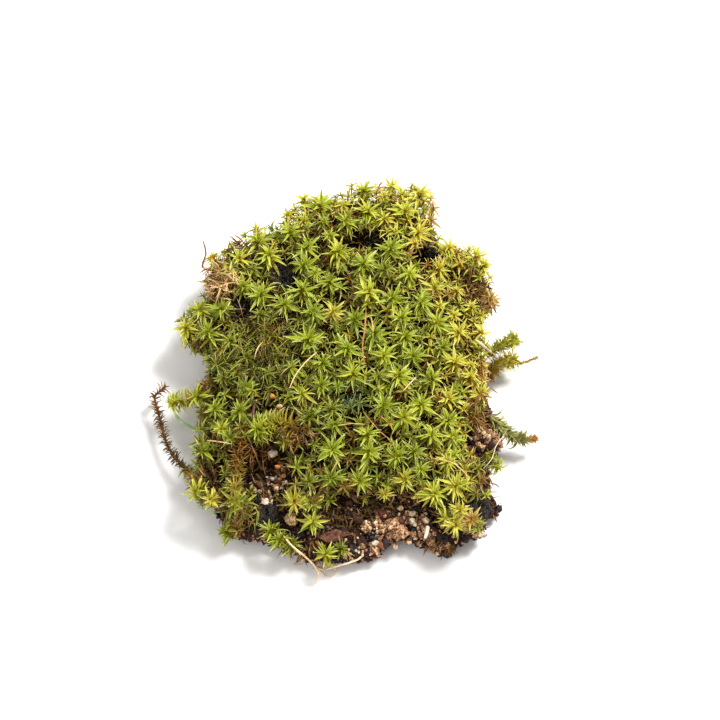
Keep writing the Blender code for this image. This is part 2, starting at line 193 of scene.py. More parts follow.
def add_object(name, mesh, finish, slot=None, *replaced):
    """Puts a mesh in the scene. With a slot, it is a piece of the clump."""
    made = bpy.data.objects.new(name, mesh)
    mesh.materials.append(finish)
    scene.collection.objects.link(made)
    if slot:
        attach(made, "root")
    if replaced:
        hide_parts(*replaced)
    return made


top = bmesh.new()
bmesh.ops.create_grid(top, x_segments=1, y_segments=1, size=0.6)
table_paint, wire = material("table_paint")
cloud = wire.grain(0.09)
surface(wire, cloud.ramp((0.3, 0.83, 0.82, 0.81), (0.7, 0.87, 0.86, 0.855)), 0.6)
table = add_object("table", mesh_of("table", top), table_paint)
table.location.z = -0.02 * MM

room = bpy.data.worlds.new("room")
room.use_nodes = True
room.node_tree.nodes["Background"].inputs["Color"].default_value = (1.0, 0.99, 0.98, 1)
room.node_tree.nodes["Background"].inputs["Strength"].default_value = 0.63
scene.world = room
for name, spot, side, power in (
    ("lamp_right", (0.28, 0.20, 0.52), 0.20, 4.6), ("lamp_left", (-0.45, -0.30, 0.45), 0.35, 1.0),
):
    light = bpy.data.lights.new(name, "AREA")
    light.size = side
    light.energy = power
    lamp = bpy.data.objects.new(name, light)
    scene.collection.objects.link(lamp)
    lamp.location = spot
    lamp.rotation_mode = "QUATERNION"
    lamp.rotation_quaternion = Vector(spot).to_track_quat("Z", "Y")


# ---- Soil ----
# Black-brown crumbly humus that the moss has rooted in, bare along the front and in the hollows.
# It is a lumpy pad with loose crumbs and sand grains pressed into it.
MIDDLE_POINT = (342, 372)
EDGE_HEIGHT = 7 * MM
MOSS_EDGE = [
    (488, 372), (487, 345), (487, 318), (496, 300), (494, 278), (489, 260), (474, 250), (448, 244),
    (436, 234), (436, 196), (422, 186), (398, 186), (376, 181), (352, 183), (330, 193), (304, 198),
    (284, 210), (276, 228), (256, 228), (238, 238), (222, 248), (208, 258), (203, 278), (200, 296),
    (184, 310), (176, 328), (186, 344), (204, 356), (206, 374), (198, 390), (197, 412), (196, 436),
    (197, 458), (190, 480), (194, 500), (218, 508), (246, 514), (268, 500), (292, 508), (316, 506),
    (338, 494), (366, 494), (398, 490), (424, 500), (440, 514), (452, 534), (478, 532), (489, 514),
    (486, 488), (479, 464), (480, 436), (484, 408), (490, 390),
]
# Point and radius of each gap in the moss, and 1 where soil shows at its bottom.
HOLLOWS = [
    (281, 274, 17, 0), (240, 306, 15, 0), (351, 236, 12, 0), (372, 237, 12, 0), (430, 251, 11, 0),
    (471, 279, 11, 0), (267, 403, 8, 0), (214, 474, 12, 1), (268, 458, 22, 1), (274, 486, 19, 1),
    (262, 508, 16, 1), (240, 452, 13, 1), (240, 478, 14, 1), (481, 438, 14, 1), (380, 309, 6, 0),
    (417, 322, 6, 0), (450, 384, 5, 0), (304, 446, 9, 0), (347, 272, 6, 0), (322, 228, 6, 0),
    (345, 392, 8, 0), (296, 432, 8, 0), (480, 507, 12, 1), (256, 477, 8, 1),
]
middle = place(MIDDLE_POINT, EDGE_HEIGHT)
edge = sorted((math.atan2(out.y, out.x), out.length)
              for out in (place(point, EDGE_HEIGHT) - middle for point in MOSS_EDGE))
edge_turns, edge_radii = zip(*edge)


def edge_reach(turn):
    """How far the edge of the moss is from its middle, this way round."""
    return float(np.interp(turn, edge_turns, edge_radii, period=2 * math.pi))


def share(x, y):
    """How far out a spot is: 0 in the middle of the moss and 1 on its edge."""
    out = Vector((x - middle.x, y - middle.y))
    return out.length / edge_reach(math.atan2(out.y, out.x))


def hollow(spot, grow=1.0, soil_only=False):
    """Whether this spot is seen inside a gap in the moss."""
    u, v = point_of(spot)
    return any(math.hypot(u - x, v - y) < r * grow and (bare or not soil_only)
               for x, y, r, bare in HOLLOWS)


class Heap:
    """Many turned and sized copies of a few small shapes, joined into one mesh."""
    CELL_MARGIN = 0.08

    def __init__(self, shapes, cell_aspect, smooth=True):
        self.shapes = [self.read(shape) for shape in shapes]
        self.cell_aspect = cell_aspect
        self.smooth = smooth
        self.copies = [[] for _ in shapes]

    def read(self, shape):
        """The shape's corners, triangles, chart, and how far along and across each corner is."""
        bmesh.ops.triangulate(shape, faces=shape.faces[:])
        shape.verts.index_update()
        flat = shape.loops.layers.uv.active
        marks = [shape.verts.layers.float.get(mark) for mark in ("along", "across")]
        corners = np.array([v.co for v in shape.verts])
        faces = np.array([[v.index for v in f.verts] for f in shape.faces])
        chart = np.array([[loop[flat].uv for loop in f.loops] for f in shape.faces])
        tones = np.array([[v[mark] if mark else 0.0 for mark in marks] for v in shape.verts])
        return corners, faces, chart, tones

    def put(self, kind, spot, columns, tint=0.0, age=0.0):
        """Adds a copy at a spot, with its three axes turned to these columns."""
        row = (*spot, *columns[0], *columns[1], *columns[2], tint, age)
        self.copies[kind % len(self.shapes)].append(row)

    def join(self, name, finish, slot, *replaced):
        """Makes the piece. Each copy has a cell of its own in the chart."""
        count = sum(map(len, self.copies))
        columns = math.ceil(math.sqrt(count * self.cell_aspect))
        lines = math.ceil(count / columns)
        corners, faces, charts, tones, first, cell = [], [], [], [], 0, 0
        for (shape, tris, flat, marks), rows in zip(self.shapes, self.copies):
            if not rows:
                continue
            rows = np.array(rows)
            turned = np.einsum("kji,nj->kni", rows[:, 3:12].reshape(-1, 3, 3), shape)
            corners.append((turned + rows[:, None, :3]).reshape(-1, 3))
            starts = first + len(shape) * np.arange(len(rows))
            faces.append((tris[None] + starts[:, None, None]).reshape(-1, 3))
            cells = cell + np.arange(len(rows))
            at = np.stack([cells % columns, cells // columns], axis=1)[:, None, None]
            inset = self.CELL_MARGIN + (1 - 2 * self.CELL_MARGIN) * flat[None]
            charts.append(((inset + at) / (columns, lines)).reshape(-1, 2))
            own = np.repeat(rows[:, None, 12:], len(shape), axis=1)
            both = np.concatenate([np.repeat(marks[None], len(rows), axis=0), own], axis=2)
            tones.append(both.reshape(-1, 4))
            first += len(shape) * len(rows)
            cell += len(rows)
        mesh = bpy.data.meshes.new(name)
        mesh.from_pydata(np.concatenate(corners), [], np.concatenate(faces))
        mesh.polygons.foreach_set("use_smooth", [self.smooth] * len(mesh.polygons))
        colours = mesh.color_attributes.new("tone", "FLOAT_COLOR", "POINT")
        colours.data.foreach_set("color", np.concatenate(tones).astype(np.float32).ravel())
        chart = mesh.uv_layers.new(name="OFBake")
        chart.data.foreach_set("uv", np.concatenate(charts).astype(np.float32).ravel())
        return add_object(name, mesh, finish, slot, *replaced)


def two_sided(shape):
    """Charts a round shape: its upper half beside its lower half."""
    chart = shape.loops.layers.uv.new("chart")
    reach = max(vert.co.length for vert in shape.verts)
    for face in shape.faces:
        side = 0.25 if face.normal.z > 0 else 0.75
        for loop in face.loops:
            x, y, _ = loop.vert.co / reach
            loop[chart].uv = (side + 0.24 * x, 0.5 + 0.48 * y)
    return shape


def pebble(seed, flatness, corners, roundness=0.0):
    """A small angular stone or crumb: the hull round a few scattered corners."""
    dice = random.Random(seed)
    shape = bmesh.new()
    for i in range(corners):
        turn, height = i * 2.4, 1 - 2 * (i + 0.5) / corners
        ring = math.sqrt(1 - height * height)
        swell = dice.uniform(0.75 + 0.2 * roundness, 1.15)
        spot = Vector((ring * math.cos(turn), ring * math.sin(turn), height)) * swell
        shape.verts.new((spot.x, spot.y * dice.uniform(0.8, 1), spot.z * flatness))
    hull = bmesh.ops.convex_hull(shape, input=shape.verts)
    bmesh.ops.delete(shape, geom=hull["geom_interior"], context="VERTS")
    bmesh.ops.recalc_face_normals(shape, faces=shape.faces)
    return two_sided(shape)


def rough_ball(radius, cuts, lump, shift, depth, octaves, fading=1.0):
    """A ball swollen by noise with lumps of this size."""
    ball = bmesh.new()
    bmesh.ops.create_icosphere(ball, subdivisions=cuts, radius=radius)
    for vert in ball.verts:
        swell = noise.fractal(vert.co / lump + Vector(shift), fading, 2.0, octaves)
        vert.co *= 1 + depth * swell
    return ball


def loose(dice, size, stretch=(0.8, 1.3)):
    """The columns of a random turn, with a size of its own along each of them."""
    turn = Vector([dice.gauss(0, 1) for _ in range(3)]).normalized()
    other = turn.cross(Vector([dice.gauss(0, 1) for _ in range(3)])).normalized()
    third = turn.cross(other)
    return [axis * size * dice.uniform(*stretch) for axis in (turn, other, third)]


VOXEL = 0.36 * MM
FOOT = 0.35 * MM  # the flat underside stays flat below this height
soil_shape = bmesh.new()
soil_shape.from_mesh(nodes["soil_pad"].data)
bmesh.ops.remove_doubles(soil_shape, verts=soil_shape.verts, dist=1e-6)
soil_draft = bpy.data.objects.new("soil_draft", mesh_of("soil_draft", soil_shape))
scene.collection.objects.link(soil_draft)
remesh = soil_draft.modifiers.new("crumbly", "REMESH")
remesh.mode = "VOXEL"
remesh.voxel_size = VOXEL
graph = bpy.context.evaluated_depsgraph_get()
ground = bmesh.new()
ground.from_mesh(bpy.data.meshes.new_from_object(soil_draft.evaluated_get(graph)))
bpy.data.objects.remove(soil_draft)
ground.normal_update()
for vert in ground.verts:
    if vert.co.z > FOOT:
        heaps = noise.noise(vert.co / (3.1 * MM))
        lumps = noise.fractal(vert.co / (1.7 * MM), 1.0, 2.0, 3)
        ridges = abs(noise.noise(vert.co / (0.8 * MM)))
        vert.co += vert.normal * (0.45 * heaps + 0.36 * lumps + 0.28 * ridges - 0.15) * MM
        vert.co.z = max(vert.co.z, 0.05 * MM)
bmesh.ops.recalc_face_normals(ground, faces=ground.faces)
soil_tree = BVHTree.FromBMesh(ground)

ALONG, TINT = 0, 2


def speckled(name, noise_of, stops, roughness, depth, gloss=0.5, by_tone=None, stain=None):
    """A material that a noise raises, and colours too unless a tone does. The noise is given by
    its size in mm, detail and roughness, and a stain by where the noise shows it and its colour."""
    made, wire = material(name)
    speck = wire.grain(noise_of[0] * MM, *noise_of[1:])
    colour = (speck if by_tone is None else wire.tones()[by_tone]).ramp(*stops)
    if stain:
        colour = speck.clipped(*stain[0]).between(colour, stain[1])
    if isinstance(roughness, tuple):
        roughness = speck.clipped(*roughness)
    surface(wire, colour, roughness, speck, depth * MM, gloss)
    return made


humus, wire = material("humus")
crumb = wire.grain(0.7 * MM, 5.0, 0.7)
colour = crumb.ramp((0.32, 0.003, 0.002, 0.002), (0.52, 0.028, 0.011, 0.006),
                    (0.68, 0.13, 0.05, 0.026), (0.8, 0.28, 0.15, 0.08))
reddish = wire.grain(4 * MM, 2.0).clipped(0.45, 0.65, 0.0, 0.5)
surface(wire, reddish.between(colour, (0.110, 0.042, 0.022)), crumb.clipped(0.3, 0.8, 0.95, 0.6),
        wire.grain(0.28 * MM, 4.0, 0.7), 0.25 * MM, 0.4)
add_object("soil_ground", mesh_of("soil_ground", ground), humus, "soil", "soil_pad")

crumb_earth, wire = material("crumb_earth")
tint = wire.tones()[TINT]
speck = wire.grain(0.18 * MM, 3.0)
earth = tint.ramp((0.0, 0.003, 0.002, 0.002), (0.4, 0.038, 0.011, 0.007),
                  (0.7, 0.19, 0.06, 0.03), (1.0, 0.38, 0.18, 0.1))
sprinkle = speck.clipped(0.45, 0.75, 0.0, 0.5) * tint
surface(wire, sprinkle.between(earth, (0.42, 0.23, 0.14)), tint.clipped(0.0, 0.3, 0.42, 0.9),
        speck, 0.08 * MM)

sand_stone = speckled(
    "sand_stone", (0.22, 3.0),
    ((0.0, 0.88, 0.82, 0.68), (0.15, 0.84, 0.68, 0.44), (0.35, 0.66, 0.43, 0.24),
     (0.55, 0.44, 0.25, 0.13), (0.75, 0.82, 0.37, 0.11), (0.9, 0.25, 0.2, 0.17),
     (1.0, 0.66, 0.6, 0.5)),
    (0.3, 0.7, 0.3, 0.7), 0.05, by_tone=TINT, stain=((0.42, 0.72, 0.0, 0.65), (0.20, 0.12, 0.07)))

sandy_earth, wire = material("sandy_earth")
tint = wire.tones()[TINT]
clot = wire.grain(0.3 * MM, 4.0, 0.7)
crust = clot.ramp((0.38, 0.024, 0.009, 0.006), (0.47, 0.28, 0.125, 0.058),
                  (0.56, 0.6, 0.38, 0.21), (0.68, 0.88, 0.71, 0.48))
dirty = tint.clipped(0.3, 1.0, 0.0, 0.75)
surface(wire, dirty.between(crust, (0.11, 0.055, 0.030)), 0.8, clot, 0.14 * MM, 0.4)

# Black humus, used for real black lumps and also as painted shadow in deep gaps and a hole.
wet_humus_and_shade = speckled(
    "wet_humus_and_shade", (0.22, 5.0, 0.8),
    ((0.4, 0.004, 0.003, 0.003), (0.52, 0.028, 0.021, 0.016), (0.64, 0.17, 0.15, 0.12)),
    (0.35, 0.65, 0.35, 0.7), 0.3, 0.4)

# Sand lies thick in a few places: point, radius, and how much of the loose stuff there is sand.
SAND_PATCHES = [
    (397, 528, 22, 0.7), (428, 531, 16, 0.5), (488, 440, 14, 0.6), (378, 547, 14, 0.35),
    (440, 548, 14, 0.4), (275, 474, 11, 0.45), (268, 494, 15, 0.3), (478, 533, 12, 0.4),
    (350, 552, 14, 0.2), (412, 514, 18, 0.35), (486, 428, 10, 0.4),
]
SAND_ELSEWHERE = 0.035


def sand_share(spot):
    u, v = point_of(spot)
    found = SAND_ELSEWHERE
    for x, y, radius, part in SAND_PATCHES:
        found = max(found, part * math.exp(-((u - x) ** 2 + (v - y) ** 2) / radius ** 2))
    return found


def strewn(count, seed, hidden):
    """Random spots on the outside of the soil, with the way it faces there."""
    dice = random.Random(seed)
    faces = [f for f in ground.faces if f.normal.z > -0.5 and f.calc_center_median().z > 0.3 * MM]
    found = []
    for face in dice.choices(faces, [f.calc_area() for f in faces], k=count):
        spot = face.calc_center_median() + Vector([dice.uniform(-0.2, 0.2) * MM for _ in range(3)])
        covered = share(spot.x, spot.y) < 0.9 and not hollow(spot, 1.5, True)
        if not covered or dice.random() < hidden:
            found.append((spot, face.normal.copy()))
    return found


def laid(point, above, *trees):
    """Where something seen at this point lies on the highest of these surfaces."""
    start = place(point, 0) + sight * 60 * MM
    hits = [tree.ray_cast(start, -sight)[0] for tree in trees or (soil_tree,)]
    found = max((hit for hit in hits if hit), key=lambda hit: hit.z, default=None)
    return place(point, found.z + above * MM) if found else None


def tree_of(mesh):
    return BVHTree.FromPolygons([v.co for v in mesh.vertices], [p.vertices for p in mesh.polygons])


ROUND, LONG, LEAFY = 2.0, 3.0, 4.0  # how much taller than wide a copy's cell in the chart is
GRAIN_SIZES = (0.09, 0.11, 0.13, 0.17, 0.22, 0.3)
GRAIN_TINTS = (0.0, 0.15, 0.3, 0.3, 0.45, 0.45, 0.6, 0.75, 0.9, 1.0)
LOOSE_COUNT, CLOD_COUNT = 16000, 260
crumbs = Heap([pebble(seed, 0.8, 13) for seed in range(8)], ROUND)
sand = Heap([pebble(seed, 0.75, 10, 0.4) for seed in range(20, 28)], ROUND, smooth=False)
dice = random.Random(4)
for spot, normal in strewn(LOOSE_COUNT, 5, 0.04):
    if dice.random() < sand_share(spot):
        size = dice.choice(GRAIN_SIZES) * MM * dice.uniform(0.8, 1.2)
        spot.z = max(spot.z, 1.4 * size)
        tint = dice.choice(GRAIN_TINTS)
        spot += normal * size * dice.uniform(0.2, 0.7)
        kind, turn = dice.randrange(8), loose(dice, size)
        sand.put(kind, spot, turn, tint + dice.uniform(-0.06, 0.06))
    else:
        size = dice.uniform(0.12, 0.26) * MM * (1.6 if dice.random() < 0.12 else 1)
        spot.z = max(spot.z, 1.4 * size)
        lift = normal * size * dice.uniform(0.1, 0.6)
        # Crumbs in the bare hollows get half the tint: painted shade of the hollows.
        shade = 0.5 if hollow(spot, 1.1, True) else 1.0
        kind, turn = dice.randrange(8), loose(dice, size)
        crumbs.put(kind, spot + lift, turn, shade * dice.random() ** 1.7)

clods = [two_sided(rough_ball(1.0, 2, 0.625, (seed * 4, 0, 0), 0.55, 3)) for seed in range(6)]
lumps = Heap(clods, ROUND)
for spot, normal in strewn(CLOD_COUNT, 6, 0.0):
    size = dice.uniform(0.28, 0.7) * MM
    spot.z = max(spot.z, 1.3 * size)
    kind, turn = dice.randrange(6), loose(dice, size, (0.7, 1.2))
    lumps.put(kind, spot + normal * size * 0.2, turn, dice.uniform(0.0, 0.8))

sandy = Heap(clods, ROUND)
for x, y, radius, part in SAND_PATCHES:
    for _ in range(int(5 * radius * part)):
        size = dice.choice((0.18, 0.25, 0.32, 0.45)) * MM * dice.uniform(0.85, 1.15)
        point = (dice.gauss(x, 0.55 * radius), dice.gauss(y, 0.4 * radius))
        spot = laid(point, 0.3 * size / MM)
        if spot and spot.z > 0.9 * MM:
            sandy.put(dice.randrange(6), spot, loose(dice, size, (0.7, 1.2)), dice.random())
sandy.join("sandy_clods", sandy_earth, "soil", "soil_pad")

# The biggest lumps: dark humus, clotted sand along the lip, and black wet humus. The black wet
# lumps at the front left (kind 2) stand in for a deep hole there: painted shadow. Each has its
# point, its radius in points, and its kind in that order.
LUMPS = [
    (367, 526, 6, 1), (376, 522, 5, 1), (385, 528, 4, 1), (392, 523, 6, 1), (399, 531, 8, 1),
    (407, 538, 5, 1), (413, 520, 5, 1), (422, 523, 4, 1), (404, 517, 4, 1), (390, 534, 4, 1),
    (374, 547, 5, 1), (384, 551, 4, 1), (437, 548, 5, 1), (431, 541, 4, 1), (446, 543, 5, 1),
    (352, 556, 4, 1), (487, 437, 5, 1), (481, 446, 5, 1), (492, 446, 4, 1), (476, 438, 4, 1),
    (474, 533, 4, 1), (477, 505, 8, 0), (484, 492, 5, 0), (468, 498, 5, 0), (486, 514, 5, 0),
    (269, 512, 6, 0), (441, 535, 6, 0), (450, 528, 5, 0), (413, 529, 4, 0), (300, 531, 6, 0),
    (344, 528, 5, 0), (488, 378, 4, 1), (487, 364, 4, 1), (258, 498, 5, 0), (396, 512, 4, 0),
    (362, 541, 6, 0), (352, 548, 6, 0), (373, 537, 5, 0), (384, 541, 5, 0), (411, 526, 5, 0),
    (430, 523, 5, 0), (268, 508, 6, 2), (274, 513, 6, 2), (270, 518, 5, 2), (263, 513, 5, 2),
    (278, 507, 5, 2), (258, 520, 5, 2), (338, 557, 5, 0), (447, 551, 5, 0), (466, 536, 5, 0),
    (384, 515, 5, 0), (495, 452, 4, 0), (480, 430, 4, 0),
]
LUMP_KINDS = (("humus_lumps", crumb_earth), ("sand_lumps", sandy_earth), ("hole_shadow_lumps", wet_humus_and_shade))
UPRIGHT = Matrix.Identity(3)
lump_trees = []
for kind, (name, finish) in enumerate(LUMP_KINDS):
    shapes, spots = [], []
    for number, (u, v, radius, which) in enumerate(LUMPS):
        spot = laid((u, v), 0.0)
        if which != kind or not spot:
            continue
        lump = rough_ball(radius / POINTS_PER_METRE, 4, 0.75 * MM, (number * 5, 0, 0), 0.5, 4)
        for vert in lump.verts:
            vert.co.z = max(vert.co.z * 0.8, 0.3 * MM - spot.z)
        shapes.append(two_sided(lump))
        spots.append(spot)
    heap = Heap(shapes, ROUND)
    for number, spot in enumerate(spots):
        heap.put(number, spot, UPRIGHT, 0.35 * dice.random())
    lump_trees.append(tree_of(heap.join(name, finish, "soil", "soil_pad").data))

# Single grains that stand out: point, radius in mm, and tint from cream over orange to grey.
GRAINS = [
    (377, 511, 0.26, 0.2), (404, 516.5, 0.36, 0.1), (412, 520, 0.42, 0.05), (415, 523.5, 0.40, 0.1),
    (418, 527, 0.34, 0.2), (394, 518, 0.22, 0.3), (385, 515, 0.28, 0.6), (375, 521, 0.30, 0.1),
    (366, 521, 0.34, 0.15), (370, 527, 0.34, 0.3), (383, 530, 0.30, 0.35), (397, 541, 0.34, 0.3),
    (409, 541, 0.36, 0.2), (415, 537, 0.30, 0.35), (431, 547, 0.38, 0.35), (441, 545, 0.24, 0.0),
    (437, 552, 0.30, 0.3), (428, 549, 0.26, 0.15), (362, 553, 0.34, 0.2), (371, 552, 0.30, 0.35),
    (383, 551, 0.36, 0.2), (404, 549, 0.30, 0.0), (400, 546, 0.28, 0.05), (390, 526, 0.34, 0.3),
    (421, 536, 0.30, 0.3), (255, 491, 0.42, 0.12), (260.5, 491, 0.42, 0.2), (266, 501, 0.56, 0.0),
    (256, 507, 0.36, 0.3), (283.5, 469, 0.40, 0.2), (271.5, 478, 0.36, 0.3), (276, 477, 0.42, 0.2),
    (280, 479, 0.34, 0.35), (283.5, 476, 0.42, 0.74), (285, 482, 0.44, 0.15),
    (281.5, 488, 0.44, 0.05), (276, 488, 0.50, 0.73), (268, 484, 0.30, 0.5), (278, 494, 0.30, 0.45),
    (281, 466, 0.30, 0.75), (265, 468, 0.26, 1.0), (262, 496, 0.26, 0.5), (272, 484, 0.30, 0.3),
    (478, 431, 0.34, 0.95), (484, 433, 0.34, 0.3), (489, 436, 0.32, 0.15), (493, 441, 0.28, 0.2),
    (486, 442, 0.34, 0.95), (481, 447, 0.28, 0.3), (490, 449, 0.32, 0.1), (496, 436, 0.26, 0.35),
    (475, 437, 0.28, 1.0), (488, 455, 0.26, 0.35), (349, 548, 0.26, 0.35), (356, 549, 0.30, 0.2),
    (481, 541, 0.24, 0.2),
]
for u, v, size, tint in GRAINS:
    spot = laid((u, v), 0.5 * size, soil_tree, *lump_trees)
    if spot:
        spot.z = max(spot.z, 1.2 * size * MM)
        sand.put(dice.randrange(8), spot, loose(dice, size * MM, (0.75, 1.4)), tint)

# Black wet humus has been pushed up between the shoots in the deepest gaps, and bulges at the
# right. In the gaps it is partly painted shade: the black lumps stand in for the shadow in the
# gaps, and the three small ones at the back are wholly painted shadow. The bulges at the right are
# the humus's own black. Each has its point, spread in points, height in mm, and number of lumps.
PLUGS = [
    (281, 274, 14, 7.0, 26), (240, 306, 13, 6.5, 20), (351, 235, 5, 5.8, 5), (371, 237, 6, 5.8, 6),
    (430, 251, 5, 5.8, 5), (476, 502, 5, 6.4, 7), (479, 510, 4, 5.8, 5),
]
shapes, spots = [], []
for u, v, spread, height, count in PLUGS:
    for _ in range(count):
        point = (u + dice.uniform(-1, 1) * spread, v + dice.uniform(-1, 1) * spread)
        spots.append(place(point, (height + dice.uniform(-0.7, 0.3)) * MM))
        radius, shift = dice.uniform(0.5, 0.95) * MM, (len(spots) * 5, 3, 0)
        shapes.append(two_sided(rough_ball(radius, 4, 0.5 * MM, shift, 0.6, 5, 0.8)))
heap = Heap(shapes, ROUND)
for number, spot in enumerate(spots):
    heap.put(number, spot, UPRIGHT)
heap.join("gap_humus_and_shade", wet_humus_and_shade, "soil", "moss_carpet", "soil_pad")
lumps.join("soil_clods", crumb_earth, "soil", "soil_pad")
crumbs.join("soil_crumbs", crumb_earth, "soil", "soil_pad")
sand.join("soil_sand", sand_stone, "sand", "soil_pad")


# ---- Moss carpet ----
# Some hundred and thirty crowded shoots, each a brown stem that ends in a star of narrow keeled
# leaves. They stand upright in the middle and lean out over the edge; older leaves below are brown.

# Point of each heart, reach in points, and the mood of its colour.
CROWNS = [
    (287, 212, 9, "y"), (303, 197, 9, "y"), (320, 203, 16, "g"), (343, 203, 9, "t"),
    (365, 187, 13, "g"), (384, 194, 8, "y"), (392, 184, 9, "g"), (403, 192, 11, "g"),
    (421, 191, 14, "y"), (303, 220, 10, "y"), (323, 220, 8, "o"), (346, 219, 13, "g"),
    (369, 210, 15, "g"), (407, 208, 14, "g"), (385, 217, 11, "y"), (431, 217, 9, "n"),
    (289, 231, 14, "g"), (275, 236, 10, "o"), (255, 228, 9, "t"), (257, 240, 14, "g"),
    (268, 254, 15, "b"), (238, 257, 12, "y"), (229, 266, 10, "o"), (252, 268, 9, "o"),
    (211, 256, 9, "y"), (330, 234, 8, "g"), (307, 246, 13, "g"), (338, 251, 16, "b"),
    (391, 248, 16, "g"), (419, 231, 14, "b"), (450, 246, 13, "y"), (478, 255, 14, "g"),
    (486, 264, 9, "y"), (304, 264, 14, "g"), (315, 272, 8, "g"), (364, 263, 15, "g"),
    (385, 268, 12, "o"), (410, 274, 14, "g"), (440, 268, 14, "y"), (243, 285, 12, "g"),
    (261, 294, 13, "g"), (284, 304, 13, "g"), (330, 281, 12, "g"), (303, 288, 14, "g"),
    (369, 291, 16, "b"), (393, 298, 13, "g"), (422, 301, 14, "g"), (436, 287, 13, "y"),
    (458, 290, 8, "y"), (472, 306, 9, "y"), (482, 315, 7, "y"), (492, 298, 10, "n"),
    (200, 309, 12, "y"), (221, 308, 13, "g"), (185, 327, 14, "y"), (208, 331, 14, "b"),
    (230, 341, 12, "g"), (260, 314, 10, "o"), (313, 312, 14, "g"), (333, 312, 13, "t"),
    (355, 319, 13, "g"), (402, 317, 13, "g"), (438, 322, 14, "g"), (455, 315, 8, "y"),
    (440, 305, 7, "y"), (309, 339, 16, "g"), (375, 333, 14, "g"), (406, 336, 14, "b"),
    (459, 332, 13, "y"), (482, 332, 10, "y"), (348, 348, 14, "b"), (443, 347, 11, "o"),
    (384, 356, 15, "b"), (413, 355, 13, "g"), (455, 362, 15, "y"), (210, 360, 9, "o"),
    (219, 364, 12, "o"), (238, 371, 12, "o"), (224, 378, 11, "o"), (247, 357, 9, "o"),
    (291, 367, 12, "g"), (323, 362, 12, "g"), (353, 373, 14, "b"), (378, 376, 11, "o"),
    (399, 375, 15, "b"), (433, 378, 14, "g"), (470, 377, 13, "y"), (471, 365, 9, "y"),
    (245, 386, 11, "g"), (197, 396, 13, "y"), (322, 384, 12, "g"), (338, 386, 7, "b"),
    (303, 393, 11, "y"), (481, 393, 13, "b"), (448, 398, 15, "y"), (421, 404, 15, "b"),
    (383, 405, 14, "g"), (332, 408, 12, "o"), (310, 416, 14, "o"), (215, 408, 10, "g"),
    (240, 410, 12, "g"), (404, 417, 15, "b"), (448, 420, 14, "g"), (335, 424, 11, "g"),
    (258, 428, 13, "b"), (222, 428, 10, "y"), (232, 437, 10, "o"), (368, 433, 13, "b"),
    (431, 434, 13, "g"), (453, 436, 13, "g"), (333, 448, 15, "b"), (369, 450, 15, "b"),
    (397, 455, 13, "b"), (415, 450, 12, "o"), (203, 450, 12, "b"), (447, 461, 11, "y"),
    (454, 453, 8, "g"), (420, 468, 10, "g"), (331, 477, 13, "g"), (360, 480, 14, "b"),
    (310, 480, 10, "o"), (405, 478, 13, "y"), (455, 484, 15, "b"), (434, 492, 15, "b"),
    (385, 493, 8, "t"), (197, 490, 12, "y"), (212, 498, 11, "t"), (237, 500, 13, "y"),
    (295, 500, 14, "t"), (312, 501, 12, "y"), (459, 508, 10, "y"), (455, 523, 14, "y"),
    (470, 517, 12, "n"),
]
MOODS = {  # tint from deep green at 0 to orange at 1, and age from fresh at 0 to dead at 1
    "b": (0.54, 0.0), "g": (0.45, 0.04), "y": (0.65, 0.06), "o": (0.26, 0.22), "t": (0.75, 0.14),
    "n": (0.78, 0.6),
}
CANOPY_TOP = 12.6 * MM
CANOPY_RIM = 9.0 * MM
HEART_DEPTH = 0.95 * MM
ROOT_HEIGHT = 4.1 * MM
DULL_PATCH = (260, 344, 32)
GOLDEN = 2.39996  # the turn from each leaf to the next round its stem
TURN = 2 * math.pi


def canopy(x, y):
    """Height that the leaf tips reach."""
    fall = min(1.0, share(x, y)) ** 2.6
    waves = 0.5 * MM * noise.noise(Vector((x / (9 * MM), y / (9 * MM), 3.0)))
    return CANOPY_TOP + (CANOPY_RIM - CANOPY_TOP) * fall + waves


def dull(x, y):
    """How much darker and older the small shoots are here: most in a straggly patch at the left."""
    (u, v), (patch_u, patch_v, radius) = point_of((x, y, 9 * MM)), DULL_PATCH
    return math.exp(-((u - patch_u) ** 2 + (v - patch_v) ** 2) / radius ** 2)


def outward(x, y):
    """The level way out from the middle of the moss."""
    return Vector((x - middle.x, y - middle.y, 0)).normalized()


def painted_sunlight(x, y):
    """How much yellower and lighter the leaves are painted here, as painted light from the lamp's
    side: most at the right and the back, and at the edge.
    """
    out = outward(x, y)
    return 0.28 * min(1, share(x, y)) ** 2 * max(0, 0.42 + 0.55 * out.x + 0.35 * out.y)


def aside(axis, turn):
    """A way square to an axis, turned round it."""
    side = axis.orthogonal().normalized()
    return side * math.cos(turn) + axis.cross(side) * math.sin(turn)


def leaf(rows, bend, fold, twist, breadth, curl=0.0):
    """One leaf of length 1 along +X, keeled below: broad near its foot, with a long fine tip."""
    shape = bmesh.new()
    along = shape.verts.layers.float.new("along")
    across = shape.verts.layers.float.new("across")
    bmesh.ops.create_grid(shape, x_segments=rows, y_segments=2, size=0.5)
    for vert in shape.verts:
        t, s = vert.co.x + 0.5, vert.co.y * 2
        vert[along], vert[across] = t, abs(s)
        half = breadth * float(np.interp(
            t, (0, 0.12, 0.3, 0.5, 0.7, 0.86, 1), (0.6, 0.88, 1, 0.86, 0.58, 0.28, 0)))
        steps = [t * (i + 0.5) / 12 for i in range(12)]
        x = sum(math.cos(bend * step ** 1.2) for step in steps) * t / 12
        z = -sum(math.sin(bend * step ** 1.2) for step in steps) * t / 12
        rib = Vector((0, s * half, fold * abs(s) * half))
        rib.rotate(Matrix.Rotation(twist * t, 3, "X"))
        rib.rotate(Matrix.Rotation(bend * t ** 1.2, 3, "Y"))
        vert.co = Vector((x, curl * t * t, z)) + rib
    bmesh.ops.remove_doubles(shape, verts=shape.verts, dist=1e-5)
    chart = shape.loops.layers.uv.new("chart")
    for face in shape.faces:
        for loop in face.loops:
            t = loop.vert[along]
            side = math.copysign(loop.vert[across], loop.vert.co.y - curl * t ** 2)
            loop[chart].uv = (0.5 + 0.5 * side, t)
    return shape


